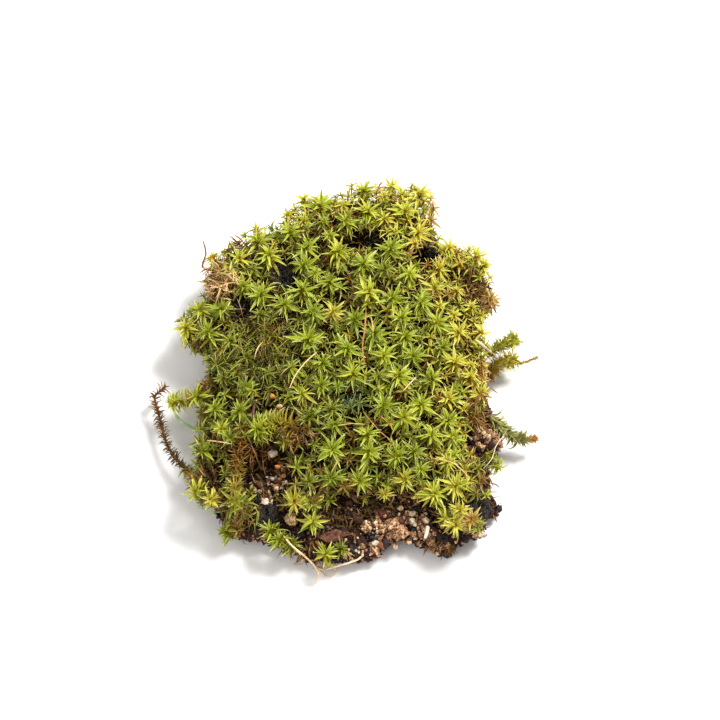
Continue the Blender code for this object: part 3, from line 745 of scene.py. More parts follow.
FRESH_LEAVES = [leaf(6, *shape) for shape in (
    (0.5, 0.8, 0.0, 0.098), (0.9, 0.9, 0.5, 0.090), (0.2, 0.85, -0.6, 0.094),
    (1.4, 0.7, 0.8, 0.088, 0.16), (0.8, 1.0, -0.9, 0.082, -0.20), (0.0, 0.8, 0.4, 0.090, 0.12),
    (1.8, 0.8, -0.7, 0.084, 0.20))]
SMALL_LEAVES = [leaf(4, *shape) for shape in (
    (0.5, 0.8, 0.0, 0.100), (1.0, 0.9, 0.6, 0.092), (0.1, 0.8, -0.6, 0.096),
    (1.5, 0.8, 0.7, 0.088, 0.18), (0.8, 1.0, -0.9, 0.084, -0.20))]
OLD_LEAVES = [leaf(6, *shape) for shape in (
    (1.3, 0.7, 0.9, 0.085, 0.1), (0.8, 0.9, -0.7, 0.075, -0.12), (1.7, 0.6, 0.5, 0.08),
    (0.5, 0.8, -1.3, 0.07, 0.15))]


def put_leaf(heap, foot, out, up, lift, length, dice, tint, age, broad=1.0):
    """Adds a leaf that leaves its stem at foot, lifted from out towards up."""
    ahead = out * math.cos(lift) + up * math.sin(lift)
    face = up * math.cos(lift) - out * math.sin(lift)
    side = face.cross(ahead)
    roll = dice.uniform(-0.3, 0.3)
    face, side = (face * math.cos(roll) + side * math.sin(roll),
                  side * math.cos(roll) - face * math.sin(roll))
    sizes = [ahead * length, side * length * broad * dice.uniform(0.88, 1.15), face * length]
    tone = min(1, max(0, tint + dice.uniform(-0.10, 0.10)))
    wear = min(1, max(0, age + dice.uniform(-0.06, 0.08)))
    heap.put(dice.randrange(60), foot + out * 0.06 * MM, sizes, tone, wear)


def star(heap, heart, axis, reach, count, dice, tint, age, lifts=(82, 6), broad=1.0):
    """The open star at the end of a shoot: upright young leaves inside, spread ones outside."""
    spin = dice.uniform(0, 6.28)
    for k in range(count):
        f = k / (count - 1)
        out = aside(axis, spin + k * GOLDEN + dice.uniform(-0.25, 0.25))
        lift = math.radians(lifts[0] + (lifts[1] - lifts[0]) * f ** 0.75 + dice.uniform(-17, 17))
        length = reach * (0.55 + 0.55 * f ** 0.6) * dice.uniform(0.75, 1.18)
        foot = heart - axis * 0.3 * reach * f
        put_leaf(heap, foot, out, axis, lift, length, dice, tint, age, broad)


def clad(heap, path, reach, count, dice, tints, ages, lifts, broad=1.0, swell=0.0):
    """Leaves up a stem along path, a function of 0 to 1, from its foot to its end."""
    for k in range(count):
        t = (k + dice.random()) / count
        here, ahead = path(t), (path(t + 0.02) - path(t - 0.02)).normalized()
        out = aside(ahead, k * GOLDEN + dice.uniform(-0.3, 0.3))
        lift = math.radians(dice.uniform(*lifts))
        tint, age = (ends[0] + (ends[1] - ends[0]) * t for ends in (tints, ages))
        long = reach * dice.uniform(0.75, 1.1) * (1 - swell + swell * t)
        put_leaf(heap, here, out, ahead, lift, long, dice, tint, age, broad)


def rod(bow):
    """A straight-sided stem of radius and height 1, bowed by this many radii."""
    shape = bmesh.new()
    along = shape.verts.layers.float.new("along")
    bmesh.ops.create_cone(shape, segments=5, radius1=1.0, radius2=0.75, depth=1.0)
    upright = [e for e in shape.edges if abs(e.verts[0].co.z - e.verts[1].co.z) > 0.5]
    bmesh.ops.subdivide_edges(shape, edges=upright, cuts=5)
    turn_of = {}
    for vert in shape.verts:
        turn_of[vert] = math.atan2(vert.co.y, vert.co.x)
        vert.co.z += 0.5
        vert[along] = vert.co.z
        vert.co.x += bow * math.sin(math.pi * vert.co.z)
    chart = shape.loops.layers.uv.new("chart")
    for face in shape.faces:
        turns = [turn_of[vert] for vert in face.verts]
        wrap = max(turns) - min(turns) > math.pi
        for loop, turn in zip(face.loops, turns):
            turn += TURN * (wrap and turn < 0)
            loop[chart].uv = (0.1 + 0.8 * (turn + math.pi) / (1.5 * TURN), loop.vert[along])
    return shape


BOWS = (0.0, 1.5, 3.0, 5.0)


def put_stem(heap, root, end, radius, dice, tint):
    """Adds a stem from root to end, and returns the path that its middle follows."""
    kind = dice.randrange(4)
    up = end - root
    bowed = aside(up.normalized(), dice.uniform(0, 6.28))
    heap.put(kind, root, [bowed * radius, up.normalized().cross(bowed) * radius, up], tint)
    return lambda t: root + up * t + bowed * radius * BOWS[kind] * math.sin(math.pi * t)


stars = Heap(FRESH_LEAVES, LEAFY)
lower = Heap(FRESH_LEAVES + OLD_LEAVES, LEAFY)
stems = Heap([rod(bow) for bow in BOWS], LONG)
dice = random.Random(21)
hearts = []
for u, v, reach, mood in CROWNS:
    heart = place((u, v), CANOPY_RIM)
    for _ in range(5):  # each turn brings the heart nearer to its depth under the canopy
        heart = place((u, v), canopy(heart.x, heart.y) - HEART_DEPTH)
    hearts.append(heart)
    outness = min(1.05, share(heart.x, heart.y))
    out, sunlight_paint = outward(heart.x, heart.y), painted_sunlight(heart.x, heart.y)
    lean = math.radians(38) * outness ** 3 * (1 - 0.7 * max(0, out.y))
    axis = Vector((0, 0, math.cos(lean))) + out * math.sin(lean)
    axis = (axis + Vector((dice.uniform(-0.2, 0.2), dice.uniform(-0.2, 0.2), 0))).normalized()
    tint, age = MOODS[mood]
    if mood in "bgyo":
        # A yellower, lighter tint on the lamp side: painted light.
        tint = min(0.75, tint + dice.uniform(-0.06, 0.06) + sunlight_paint)
    long = reach / POINTS_PER_METRE * (1.28 + 0.16 * max(0, out.y) * outness ** 4)
    star(stars, heart, axis, long, 18, dice, tint, age)
    under = heart - axis * 0.42 * long
    star(stars, under, axis, long * 0.92, 11, dice, tint + 0.06, age + 0.14, (24, -12))
    root = Vector((heart.x, heart.y, 0)) - out * (0.5 + 3.6 * outness ** 3) * MM
    root.z = ROOT_HEIGHT
    path = put_stem(stems, root, heart - axis * 0.2 * MM, 0.13 * MM, dice, 0.5)
    clad(lower, path, long * 0.85, 14 + int(14 * outness ** 3), dice, (0.55 + 1.3 * sunlight_paint, tint),
         (1.0, 0.15 + age), (20, 58), 0.95)

# Smaller shoots fill the gaps between the stars, lower down and duller, except in the hollows.
# Their duller, darker colour is partly their age and partly painted shade of the gaps.
FILLER_TRIES = 9000
SPACING = 1.2 * MM


def anywhere():
    return dice.uniform(-26, 24) * MM, dice.uniform(-26, 31) * MM


fillers = Heap(SMALL_LEAVES, LEAFY)
for _ in range(FILLER_TRIES):
    x, y = anywhere()
    outness = share(x, y)
    if outness > 0.99:
        continue
    out, sunlight_paint = outward(x, y), painted_sunlight(x, y)
    low = dice.uniform(1.0, 2.7) if sunlight_paint > 0.1 else dice.uniform(1.3, 3.8)
    if outness > 0.8 and y > middle.y + 14 * MM:
        low *= 0.6
    heart = Vector((x, y, canopy(x, y) - low * MM))
    if hollow(heart, 1.0) or any(math.hypot(x - h.x, y - h.y) < SPACING for h in hearts):
        continue
    hearts.append(heart)
    lean = math.radians(45) * outness ** 3
    sway = Vector((dice.uniform(-0.4, 0.4), dice.uniform(-0.4, 0.4), math.cos(lean)))
    axis = (sway + out * math.sin(lean)).normalized()
    # Darker, older tints than the stars': partly older leaves, partly painted shade of the gaps.
    tint = dice.choice((0.17, 0.26, 0.36, 0.42, 0.48, 0.58))
    # A yellower, lighter tint on the lamp side: painted light.
    tint = (tint + 1.4 * sunlight_paint) * (1 - 0.7 * dull(x, y))
    age = dice.choice((0.0, 0.1, 0.2, 0.35, 0.5, 0.7)) + 0.25 * dull(x, y)
    long = dice.uniform(1.3, 2.0) * MM
    star(fillers, heart, axis, long, 10, dice, tint, age, (75, -5))
    root = Vector((x, y, ROOT_HEIGHT)) - out * 2.5 * outness ** 3 * MM
    path = put_stem(stems, root, heart - axis * 0.15 * MM, 0.11 * MM, dice, 0.4)
    clad(fillers, path, long * 0.75, 8, dice, (0.5 + 1.3 * sunlight_paint, tint), (1.0, 0.35), (25, 65), 0.85)

# Short drooping shoots hang out all round the edge, in two rows: height in mm and number of each.
for row, (height, count) in enumerate(((7.6, 72), (5.9, 64))):
    for k in range(count):
        turn = TURN * (k + dice.uniform(-0.3, 0.3)) / count
        radius = edge_reach(turn) - (0.9 + 0.5 * row) * MM
        out = Vector((math.cos(turn), math.sin(turn), 0))
        heart = Vector((middle.x, middle.y, (height + dice.uniform(-0.6, 0.6)) * MM)) + out * radius
        sway = [dice.uniform(-0.3, 0.3), dice.uniform(-0.3, 0.3), dice.uniform(0.0, 0.7)]
        axis = (out + Vector(sway)).normalized()
        if hollow(heart, 1.25) or (row and out.y < -0.6):
            continue
        # A yellower, lighter tint on the lamp side: painted light.
        tint = dice.choice((0.25, 0.4, 0.5, 0.65)) + 0.8 * painted_sunlight(heart.x, heart.y)
        age = dice.uniform(0.55, 1.0) if out.y < -0.5 else dice.choice((0.05, 0.2, 0.4, 0.8))
        long = dice.uniform(1.6, 2.3) * MM
        if out.y > 0.2:
            heart.z -= 0.8 * MM
            age *= 0.6
        star(lower, heart, axis, long, 11, dice, tint, age, (70, -5))
        root = Vector((heart.x, heart.y, ROOT_HEIGHT + 0.2 * MM)) - out * 3.2 * MM
        path = put_stem(stems, root, heart, 0.12 * MM, dice, 0.45)
        clad(lower, path, long * 0.7, 8, dice, (0.6, tint), (1.0, 0.6), (20, 60), 0.85)

# Dead leaves and scraps of stem lie tangled between the shoots, down to the soil.
THATCH_COUNT = 4200
THATCH_FLOOR = 4.3 * MM
thatch = Heap([leaf(4, 1.2, 0.6, 1.0, 0.08, 0.2), leaf(4, 0.6, 0.8, -1.2, 0.07, -0.1)], LEAFY)
for _ in range(THATCH_COUNT):
    x, y = anywhere()
    if share(x, y) > 0.96:
        continue
    roof = canopy(x, y) - (4.6 if hollow((x, y, 8 * MM), 1.1) else 2.6) * MM
    height = THATCH_FLOOR + (roof - THATCH_FLOOR) * dice.random() ** 0.8
    long = dice.uniform(0.9, 2.0) * MM
    kind, turn = dice.randrange(2), loose(dice, long, (0.9, 1.1))
    tint = dice.uniform(0.1, 0.85)
    thatch.put(kind, Vector((x, y, height)), turn, tint, dice.uniform(0.7, 1))

WET_PATCH = place((353, 397), 10 * MM)  # one small patch between the stars is dark bluish green


def leafy(name, fresh_stops, dead_stops, margin, rib, tip):
    """A leaf's material: its colour by tint and age, with pale margins and tip, and a darker line
    down the keel that is partly the midrib's own colour and partly painted shade of the fold.
    """
    made, wire = material(name)
    along, across, tint, age = wire.tones()
    alive = age.clipped(0.35, 0.9, 1.0, 0.25)
    blade = age.clipped(0.1, 0.75).between(tint.ramp(*fresh_stops), tint.ramp(*dead_stops))
    tanned = wire.grain(0.35 * MM, 2.0).clipped(0.35, 0.75, 0.0, 0.3) * alive
    blade = tanned.between(blade, (0.36, 0.26, 0.03))
    away = wire.node("VectorMath", {"operation": "DISTANCE"}, {0: wire.here(), 1: WET_PATCH}, 1)
    blade = away.clipped(1.2 * MM, 3.2 * MM, 0.75, 0.0).between(blade, (0.045, 0.135, 0.085))
    blade = (across ** 2.0 * 0.5 * alive).between(blade, margin)
    # A darker line down the middle of the leaf: partly the midrib's own colour, partly painted
    # shade of the fold.
    blade = (across.clipped(0.0, 0.3, 0.45, 0.0) * alive).between(blade, rib)
    blade = (along.clipped(0.68, 1.0, 0.0, 0.8) * alive).between(blade, tip)
    rusty = along.clipped(0.0, 0.4, 0.55, 0.0) * alive * tint.clipped(0.4, 0.7, 0.3, 1.0)
    blade = rusty.between(blade, (0.44, 0.24, 0.020))
    surface(wire, blade, 0.38, through=blade, share=0.24)
    return made


moss_leaf = leafy(
    "moss_leaf",
    ((0.0, 0.065, 0.09, 0.007), (0.3, 0.15, 0.21, 0.01), (0.45, 0.225, 0.33, 0.013),
     (0.56, 0.34, 0.435, 0.022), (0.7, 0.63, 0.63, 0.08), (0.85, 0.71, 0.56, 0.1),
     (1.0, 0.46, 0.21, 0.016)),
    ((0.0, 0.016, 0.009, 0.004), (0.35, 0.082, 0.024, 0.006), (0.6, 0.25, 0.08, 0.014),
     (0.8, 0.36, 0.165, 0.042), (1.0, 0.83, 0.6, 0.36)),
    (0.74, 0.77, 0.13), (0.10, 0.13, 0.008), (0.90, 0.86, 0.40))
grey_leaf = leafy(
    "grey_leaf",
    ((0.0, 0.08, 0.095, 0.035), (0.3, 0.21, 0.225, 0.07), (0.6, 0.34, 0.36, 0.09),
     (1.0, 0.64, 0.64, 0.28)),
    ((0.0, 0.05, 0.03, 0.015), (0.5, 0.34, 0.14, 0.03), (1.0, 0.64, 0.34, 0.09)),
    (0.62, 0.62, 0.25), (0.10, 0.10, 0.025), (0.76, 0.72, 0.42))

moss_stem = speckled(
    "moss_stem", (0.2, 3.0),
    ((0.0, 0.02, 0.01, 0.006), (0.55, 0.09, 0.035, 0.012), (1.0, 0.26, 0.13, 0.03)),
    0.55, 0.04, by_tone=ALONG, stain=((0.4, 0.7, 0, 0.5), (0.20, 0.12, 0.05)))

stars.join("moss_stars", moss_leaf, "moss", "moss_carpet")
lower.join("moss_lower_leaves", moss_leaf, "olive_moss", "moss_carpet")
fillers.join("moss_small_shoots", moss_leaf, "moss", "moss_carpet")
thatch.join("moss_dead_leaves", moss_leaf, "dead_stem", "moss_carpet")
stems.join("moss_stems", moss_stem, "dead_stem", "moss_carpet")
carpet_tree = tree_of(nodes["moss_carpet"].data)

# Withered leaves lie over the soil lip, and hang in patches between the stars and down the edge:
# middle point, spread across and down, leaves, tint, height above in mm, breadth and age.
LITTER = [
    (342, 511, 24, 9, 240, 0.34, 0.25, 1.0, 1.0), (388, 502, 13, 6, 70, 0.40, 0.25, 1.0, 1.0),
    (490, 484, 4, 8, 80, 0.55, 0.3, 0.75, 1.0), (491, 522, 3, 5, 25, 0.60, 0.3, 0.75, 1.0),
    (219, 279, 9, 8, 120, 0.97, 0.6, 0.6, 1.0), (212, 272, 7, 9, 70, 0.66, 0.3, 0.7, 1.0),
    (229, 272, 8, 7, 40, 0.66, 0.4, 0.8, 0.1), (206, 265, 4, 4, 14, 0.9, 0.4, 0.9, 1.0),
    (240, 516, 14, 9, 70, 0.45, 0.25, 1.0, 1.0), (238, 514, 14, 9, 60, 0.40, 0.35, 0.9, 0.4),
    (478, 410, 6, 8, 90, 0.55, 0.3, 0.8, 1.0), (475, 281, 6, 9, 110, 0.45, 0.2, 0.65, 1.0),
    (233, 242, 6, 5, 90, 0.55, 0.3, 0.8, 1.0), (492, 299, 4, 5, 40, 0.58, 0.3, 0.9, 1.0),
    (298, 433, 9, 6, 50, 0.50, 0.3, 0.8, 1.0), (250, 350, 22, 20, 60, 0.20, 0.0, 0.6, 1.0),
    (268, 332, 8, 8, 50, 0.45, 0.0, 0.6, 1.0), (254, 348, 17, 14, 170, 0.40, 0.3, 0.45, 0.3),
    (258, 348, 20, 15, 40, 0.85, 0.4, 0.13, 1.0), (216, 468, 9, 9, 30, 0.35, 0.0, 0.5, 1.0),
    (280, 272, 9, 8, 30, 0.3, -1.0, 0.45, 1.0), (240, 306, 9, 7, 25, 0.3, -1.0, 0.45, 1.0),
    (262, 450, 16, 8, 60, 0.55, 0.0, 0.45, 1.0), (455, 545, 12, 5, 70, 0.45, 0.2, 1.0, 1.0),
    (300, 548, 16, 7, 110, 0.5, 0.2, 1.0, 1.0), (436, 205, 3, 12, 60, 0.62, 0.2, 1.1, 1.0),
    (482, 372, 4, 9, 40, 0.72, 0.3, 1.0, 1.0),
]
litter = Heap([leaf(6, 0.9, 0.7, 0.9, 0.085, 0.26), leaf(6, 0.6, 0.9, -0.7, 0.075, -0.34),
               leaf(6, 1.3, 0.6, 0.5, 0.08, 0.10), leaf(6, 0.4, 0.8, -1.3, 0.07, 0.40)], LEAFY)
for u, v, across, down, count, tint, above, broad, age in LITTER:
    for _ in range(count):
        point = (dice.gauss(u, across), dice.gauss(v, down))
        spot = laid(point, above + dice.uniform(-0.2, 0.3), carpet_tree, soil_tree)
        if spot:
            out = Vector((dice.gauss(0, 1), dice.gauss(0, 1) - 0.4, dice.uniform(-0.5, 0.4)))
            out.normalize()
            face = out.cross(Vector((dice.gauss(0, 0.4), dice.gauss(0, 0.4), 1))).cross(out)
            long = dice.uniform(1.1, 2.1) * (1.7 - 0.7 * broad) * MM
            shade = tint + dice.uniform(-0.15, 0.15)
            put_leaf(litter, spot, out, face.normalized(), 0.0, long, dice, shade, age, broad)
litter.join("withered_leaves", moss_leaf, "dead_stem", "moss_carpet")


# ---- Tufts on the bare soil ----
# Four small plants stand apart from the carpet at the front: a star or two each, with broad
# fresh leaves above and brown ones below, rooted in the soil.
TUFTS = {  # for each star: its point, reach, height, lean to +X and +Y, mood, and how far it closes
    "front_tuft": [(314, 519, 15, 6.6, 0.05, -0.1, "b", 0)],
    "root_tuft": [(326, 552, 15, 5.3, -0.25, -0.4, "b", 0), (341, 547, 12, 4.5, 0.5, 0.1, "o", 25)],
    "left_front_tuft": [(272, 529, 17, 5.8, -0.5, 0.7, "g", 35),
                        (292, 543, 13, 4.9, 0.4, -0.2, "o", 30),
                        (281, 538, 14, 5.4, -0.2, 0.4, "g", 30)],
    "corner_tuft": [(227, 531, 14, 3.8, -0.8, 0.1, "g", 25),
                    (238, 525, 14, 4.4, -0.3, 0.6, "n", 35)],
}
dice = random.Random(31)
for node, plants in TUFTS.items():
    leaves = Heap(FRESH_LEAVES + OLD_LEAVES[:2], LEAFY)
    stalks = Heap([rod(bow) for bow in BOWS], LONG)
    ground_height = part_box(node)[0].z
    for u, v, reach, height, lean_x, lean_y, mood, closed in plants:
        heart = place((u, v), height * MM)
        axis = Vector((lean_x, lean_y, 1)).normalized()
        tint, age = MOODS[mood]
        long = reach / POINTS_PER_METRE * 1.1
        count, broad = (26, 0.8) if closed else (15, 1.1)
        star(leaves, heart, axis, long, count, dice, tint + 0.09, age, (82, 4 + closed), broad)
        star(leaves, heart - axis * 0.5 * long, axis, long * 0.9, 9, dice, tint, age + 0.15,
             (30 + closed, closed))
        root = Vector((heart.x, heart.y, ground_height)) - Vector((axis.x, axis.y, 0)) * 1.5 * MM
        path = put_stem(stalks, root, heart, 0.13 * MM, dice, 0.5)
        clad(leaves, path, long * 0.75, 16, dice, (0.6, tint), (1.0, 0.2 + age), (15 + closed, 62),
             0.95)
    leaves.join(node + "_leaves", moss_leaf, "moss", node)
    stalks.join(node + "_stems", moss_stem, "dead_stem", node)


# ---- Stray shoots ----
# Whole shoots that spring from the clump's edge and lie out over the table: brown dead ones, and
# green ones clad in leaves to the tip. Two more lie over the carpet at the lower left.
def route(spots):
    """A smooth path through these spots, as a function of 0 to 1."""
    stops = np.cumsum([0.0] + [(b - a).length for a, b in zip(spots, spots[1:])])
    stops = stops / stops[-1]

    def at(t):
        i = int(min(max(np.searchsorted(stops, t, "right") - 1, 0), len(spots) - 2))
        f = (t - stops[i]) / (stops[i + 1] - stops[i])
        a, b = spots[i], spots[i + 1]
        before, after = spots[max(i - 1, 0)], spots[min(i + 2, len(spots) - 1)]
        return 0.5 * (2 * a + (b - before) * f + (2 * before - 5 * a + 4 * b - after) * f ** 2
                      + (3 * a - before - 3 * b + after) * f ** 3)
    return at


def raised(points):
    """The path through points of the picture, each with its height in mm."""
    return route([place((u, v), height * MM) for u, v, height in points])


def strand(name, path, radius, finish, slot, node=None, count=24, sides=8, tint=0.5,
           ends=(0.7, 0.45)):
    """A round tapering strand along a path, closed at both ends. Its radius is in mm."""
    shape = bmesh.new()
    tone = shape.verts.layers.float_color.new("tone")
    ahead = (path(0.03) - path(0.0)).normalized()
    side = ahead.orthogonal().normalized()
    before = None
    for i in range(count + 1):
        t = i / count
        now = (path(min(1, t + 0.02)) - path(max(0, t - 0.02))).normalized()
        side.rotate(ahead.rotation_difference(now))
        ahead = now
        thick = radius * MM * np.interp(t, (0, 0.12, 0.8, 1), (ends[0], 1, 0.9, ends[1]))
        thick *= 1 + 0.16 * noise.noise(path(t) / (0.5 * MM))
        turned = Matrix((side, ahead.cross(side), ahead)).transposed().to_4x4()
        ring = bmesh.ops.create_circle(shape, cap_ends=i in (0, count), segments=sides,
                                       radius=thick, matrix=Matrix.Translation(path(t)) @ turned)
        for vert in ring["verts"]:
            vert[tone] = (t, 0, tint, 1)
        rim = list({e for v in ring["verts"] for e in v.link_edges})
        if before:
            bmesh.ops.bridge_loops(shape, edges=before + rim)
        before = rim
    bmesh.ops.recalc_face_normals(shape, faces=shape.faces)
    return add_object(name, mesh_of(name, shape), finish, slot, *([node] if node else []))


rusty_bark = speckled(
    "rusty_bark", (0.35, 4.0, 0.7),
    ((0.35, 0.022, 0.007, 0.004), (0.5, 0.15, 0.036, 0.01), (0.68, 0.42, 0.14, 0.036)),
    0.55, 0.06)
# Name, node, leaf length in mm, leaves, tints and ages from foot to end, lifts, breadth, swell, end
# star, stem's radius in mm, and the path: points with heights in mm, above the moss without a node.
STRAYS = [
    ("long_brown_shoot", "long_brown_shoot",
     1.4, 330, (0.18, 0.66), (1.0, 1.0), (20, 78), 1.05, 0.1, 0, 0.19,
     [(194, 476, 3.6), (180, 463, 3.2), (171, 452, 2.9), (165, 440, 2.8), (161, 425, 2.8),
      (157, 411, 2.9), (154, 397, 3.2), (163, 388, 3.6)]),
    ("left_shoot", "left_shoot",
     2.2, 120, (0.80, 0.62), (0.7, 0.0), (5, 60), 0.80, 0.1, 34, 0.16,
     [(208, 390, 5.2), (197, 396, 5.2), (187, 400, 4.9), (178, 402, 4.8), (172, 403, 4.6)]),
    ("right_shoot_upper", "right_shoot_upper",
     1.9, 250, (0.52, 0.74), (0.45, 0.1), (44, 64), 1.15, 0.2, 22, 0.24,
     [(484, 356, 4.8), (494, 350, 4.8), (505, 344, 4.8), (515, 340, 4.6)]),
    ("right_shoot_lower", "right_shoot_lower",
     1.95, 240, (0.66, 0.80), (0.8, 0.05), (38, 62), 1.1, 0.1, 26, 0.24,
     [(484, 379, 3.8), (494, 370, 3.8), (503, 363, 3.8), (513, 360, 3.7)]),
    ("right_shoot_tip", "right_shoot_lower",
     0.8, 80, (0.85, 0.85), (0.5, 0.6), (58, 76), 1.3, 0.0, 6, 0.14,
     [(512, 362, 3.8), (523, 363, 3.7), (537, 358, 3.7)]),
    ("feather_sprig", "feather_sprig",
     2.2, 230, (0.74, 0.32), (0.20, 0.0), (68, 84), 0.9, -0.35, 12, 0.34,
     [(484, 414, 5.2), (493, 420, 4.8), (500, 427, 4.5), (510, 434, 4.0), (520, 438, 3.7)]),
    ("feather_tip", "feather_sprig",
     1.2, 130, (1.0, 0.95), (0.3, 1.0), (60, 80), 1.9, 0.0, 14, 0.32,
     [(516, 437, 3.8), (524, 439, 3.6), (533, 439, 3.5)]),
    ("green_tip", "green_tip",
     1.7, 70, (0.5, 0.66), (0.5, 0.0), (20, 55), 1.1, 0.0, 24, 0.14,
     [(484, 452, 7.0), (491, 460, 6.4), (498, 467, 5.9)]),
    ("lying_shoot", None,
     2.65, 130, (0.72, 0.60), (0.7, 0.0), (5, 50), 0.8, 0.0, 18, 0.17,
     [(298, 430, 0.6), (286, 424, 0.9), (272, 424, 0.9), (260, 429, 0.9)]),
    ("rusty_shoot", None,
     1.7, 260, (0.62, 0.72), (0.85, 0.42), (20, 70), 0.85, 0.0, 0, 0.27,
     [(248, 424, 0.0), (243, 436, -0.1), (240, 450, -0.4), (238, 465, -0.6), (237, 478, -0.6),
      (236, 487, -0.2)]),
    ("long_shoot_foot", "long_brown_shoot",
     1.9, 60, (0.60, 0.66), (0.1, 0.55), (10, 55), 0.85, 0.0, 0, 0.15,
     [(205, 490, 4.8), (199, 482, 4.4), (193, 474, 3.7), (187, 469, 3.4)]),
]
CURLY = ("long_brown_shoot", "long_shoot_foot", "lying_shoot", "rusty_shoot", "left_shoot")
HIGHEST_PATH = 10.4 * MM
dice = random.Random(41)
for name, node, long, count, tints, ages, lifts, broad, swell, tuft, thick, points in STRAYS:
    if node:
        path = raised(points)
    else:
        spots = [laid((u, v), above, carpet_tree, soil_tree) for u, v, above in points]
        path = route([place(point[:2], min(spot.z, HIGHEST_PATH))
                      for point, spot in zip(points, spots)])
    leaves = Heap((OLD_LEAVES if name in CURLY else FRESH_LEAVES) + OLD_LEAVES[:2], LEAFY)
    clad(leaves, path, long * MM, count, dice, tints, ages, lifts, broad, swell)
    end, ahead = path(0.98), (path(1.0) - path(0.94)).normalized()
    if tuft:
        lifts = (85, 5 if tuft > 16 else 35)
        star(leaves, end, ahead, long * MM, tuft, dice, tints[1], ages[1], lifts, broad)
    finish = grey_leaf if name.startswith("feather") else moss_leaf
    slot = "dead_stem" if ages[1] > 0.9 else "moss"
    leaves.join(name + "_leaves", finish, slot, *([node] if node else []))
    bark = rusty_bark if name in ("rusty_shoot", "long_brown_shoot") else moss_stem
    strand(name + "_stem", path, thick, bark, "dead_stem", node)


# ---- Stalks, hairs and a blade of grass ----
# Dead seta stalks, straws and hairs of other plants that lie over the moss, thin and dry, and one
# pale green blade of grass under the left edge.
dry_stalk, wire = material("dry_stalk")
along, _, tint, _ = wire.tones()
rind = tint.ramp((0.0, 0.035, 0.015, 0.008), (0.2, 0.42, 0.13, 0.03), (0.4, 0.62, 0.36, 0.14),
                 (0.6, 0.78, 0.62, 0.32), (0.8, 0.7, 0.42, 0.3), (0.9, 0.8, 0.74, 0.58),
                 (1.0, 0.86, 0.84, 0.78))
streak = wire.grain(0.3 * MM, 4.0, 0.7)
rind = streak.clipped(0.4, 0.7, 0.0, 0.5).between(rind, (0.32, 0.15, 0.06))
surface(wire, along.clipped(0.0, 0.15, 0.45, 0.0).between(rind, (0.10, 0.05, 0.02)),
        streak.clipped(0.3, 0.7, 0.35, 0.65), streak, 0.04 * MM)


def on_node(node, points):
    """Where a CAD stalk runs: each point of the picture at the height of its nearest corners."""
    corners = [v.co for v in nodes[node].data.vertices]
    spots = []
    for point in points:
        near = sorted(corners, key=lambda corner: math.dist(point_of(corner), point))[:10]
        spots.append(place(point, sum(corner.z for corner in near) / len(near)))
    return spots


# Node, points, radius in mm, and tint: dark brown 0, orange 0.2, tan, straw 0.6, pink 0.8, white 1.
STALKS = [
    ("brown_seta", [(366, 311), (364.5, 330), (362.5, 348), (364.5, 364)], 0.105, 0.26),
    ("tan_seta", [(371, 317), (372.5, 325), (373, 332)], 0.10, 0.42),
    ("straw_stalk", [(317, 352), (306, 362), (296, 375), (290, 388)], 0.105, 0.55),
    ("pink_stalk", [(416, 377), (409, 384), (403, 391)], 0.10, 0.70),
    ("arched_stalk", [(432, 457), (450, 461), (460, 468), (468, 476)], 0.09, 0.5),
    ("pale_hair", [(508, 428), (503, 436), (495, 446), (491, 458), (482, 468)], 0.06, 0.88),
    ("dark_twig", [(256, 401), (254.5, 409), (254, 418)], 0.24, 0.0),
    ("white_stick", [(427, 524.5), (426.5, 530), (424.5, 536.5)], 0.30, 0.94),
]
for node, points, radius, tint in STALKS:
    path = route(on_node(node, points))
    strand(node + "_strand", path, radius, dry_stalk, "straw", node, tint=tint)

# Loose stalks and hairs: points, radius and height above the moss in mm, and tint.
THREADS = [
    ([(338, 425), (352, 423), (365, 424)], 0.06, 0.5, 0.5),
    ([(364, 413), (372, 422), (381, 432), (393, 441)], 0.08, 0.5, 0.26),
    ([(338, 459), (331, 472)], 0.07, 0.5, 0.4),
    ([(208, 440), (220, 441), (232, 443)], 0.10, 1.2, 0.55),
    ([(200, 468), (207, 476)], 0.06, 0.6, 0.8),
    ([(212, 270), (201, 266), (204, 252), (201, 239)], 0.15, 0.0, 0.06),
    ([(498, 358), (492, 353), (485, 347), (476, 340)], 0.24, 1.0, 0.85),
]
for number, (points, radius, above, tint) in enumerate(THREADS):
    spots = []
    for point in points:
        spot = laid(point, above, carpet_tree, soil_tree)
        spots.append(spot or place(point, spots[-1].z if spots else 5 * MM))
    name = f"loose_thread_{number + 1}"
    strand(name, route(spots), radius, dry_stalk, "straw", None, 16, 6, tint)

grass, wire = material("grass")
vein = wire.grain(0.5 * MM, 3.0)
surface(wire, vein.ramp((0.3, 0.4, 0.66, 0.3), (0.7, 0.74, 0.86, 0.58)), 0.4, vein, 0.03 * MM,
        through=vein.ramp((0.3, 0.24, 0.44, 0.15), (0.7, 0.58, 0.72, 0.35)), share=0.3)
blade = on_node("grass_blade", [(174, 413), (178, 420), (186, 425), (193, 429), (200, 433)])
strand("grass_blade_strand", route(blade), 0.22, grass, "grass", "grass_blade", 24, 6,
       ends=(0.3, 0.9))
loop = raised([(197, 496, 6.2), (198, 505, 4.8), (208, 510, 4.3), (220, 511, 4.3), (231, 508, 4.8),
               (238, 501, 6.0)])
strand("grass_loop", loop, 0.07, grass, "grass", None, 30, 6, ends=(0.8, 0.8))


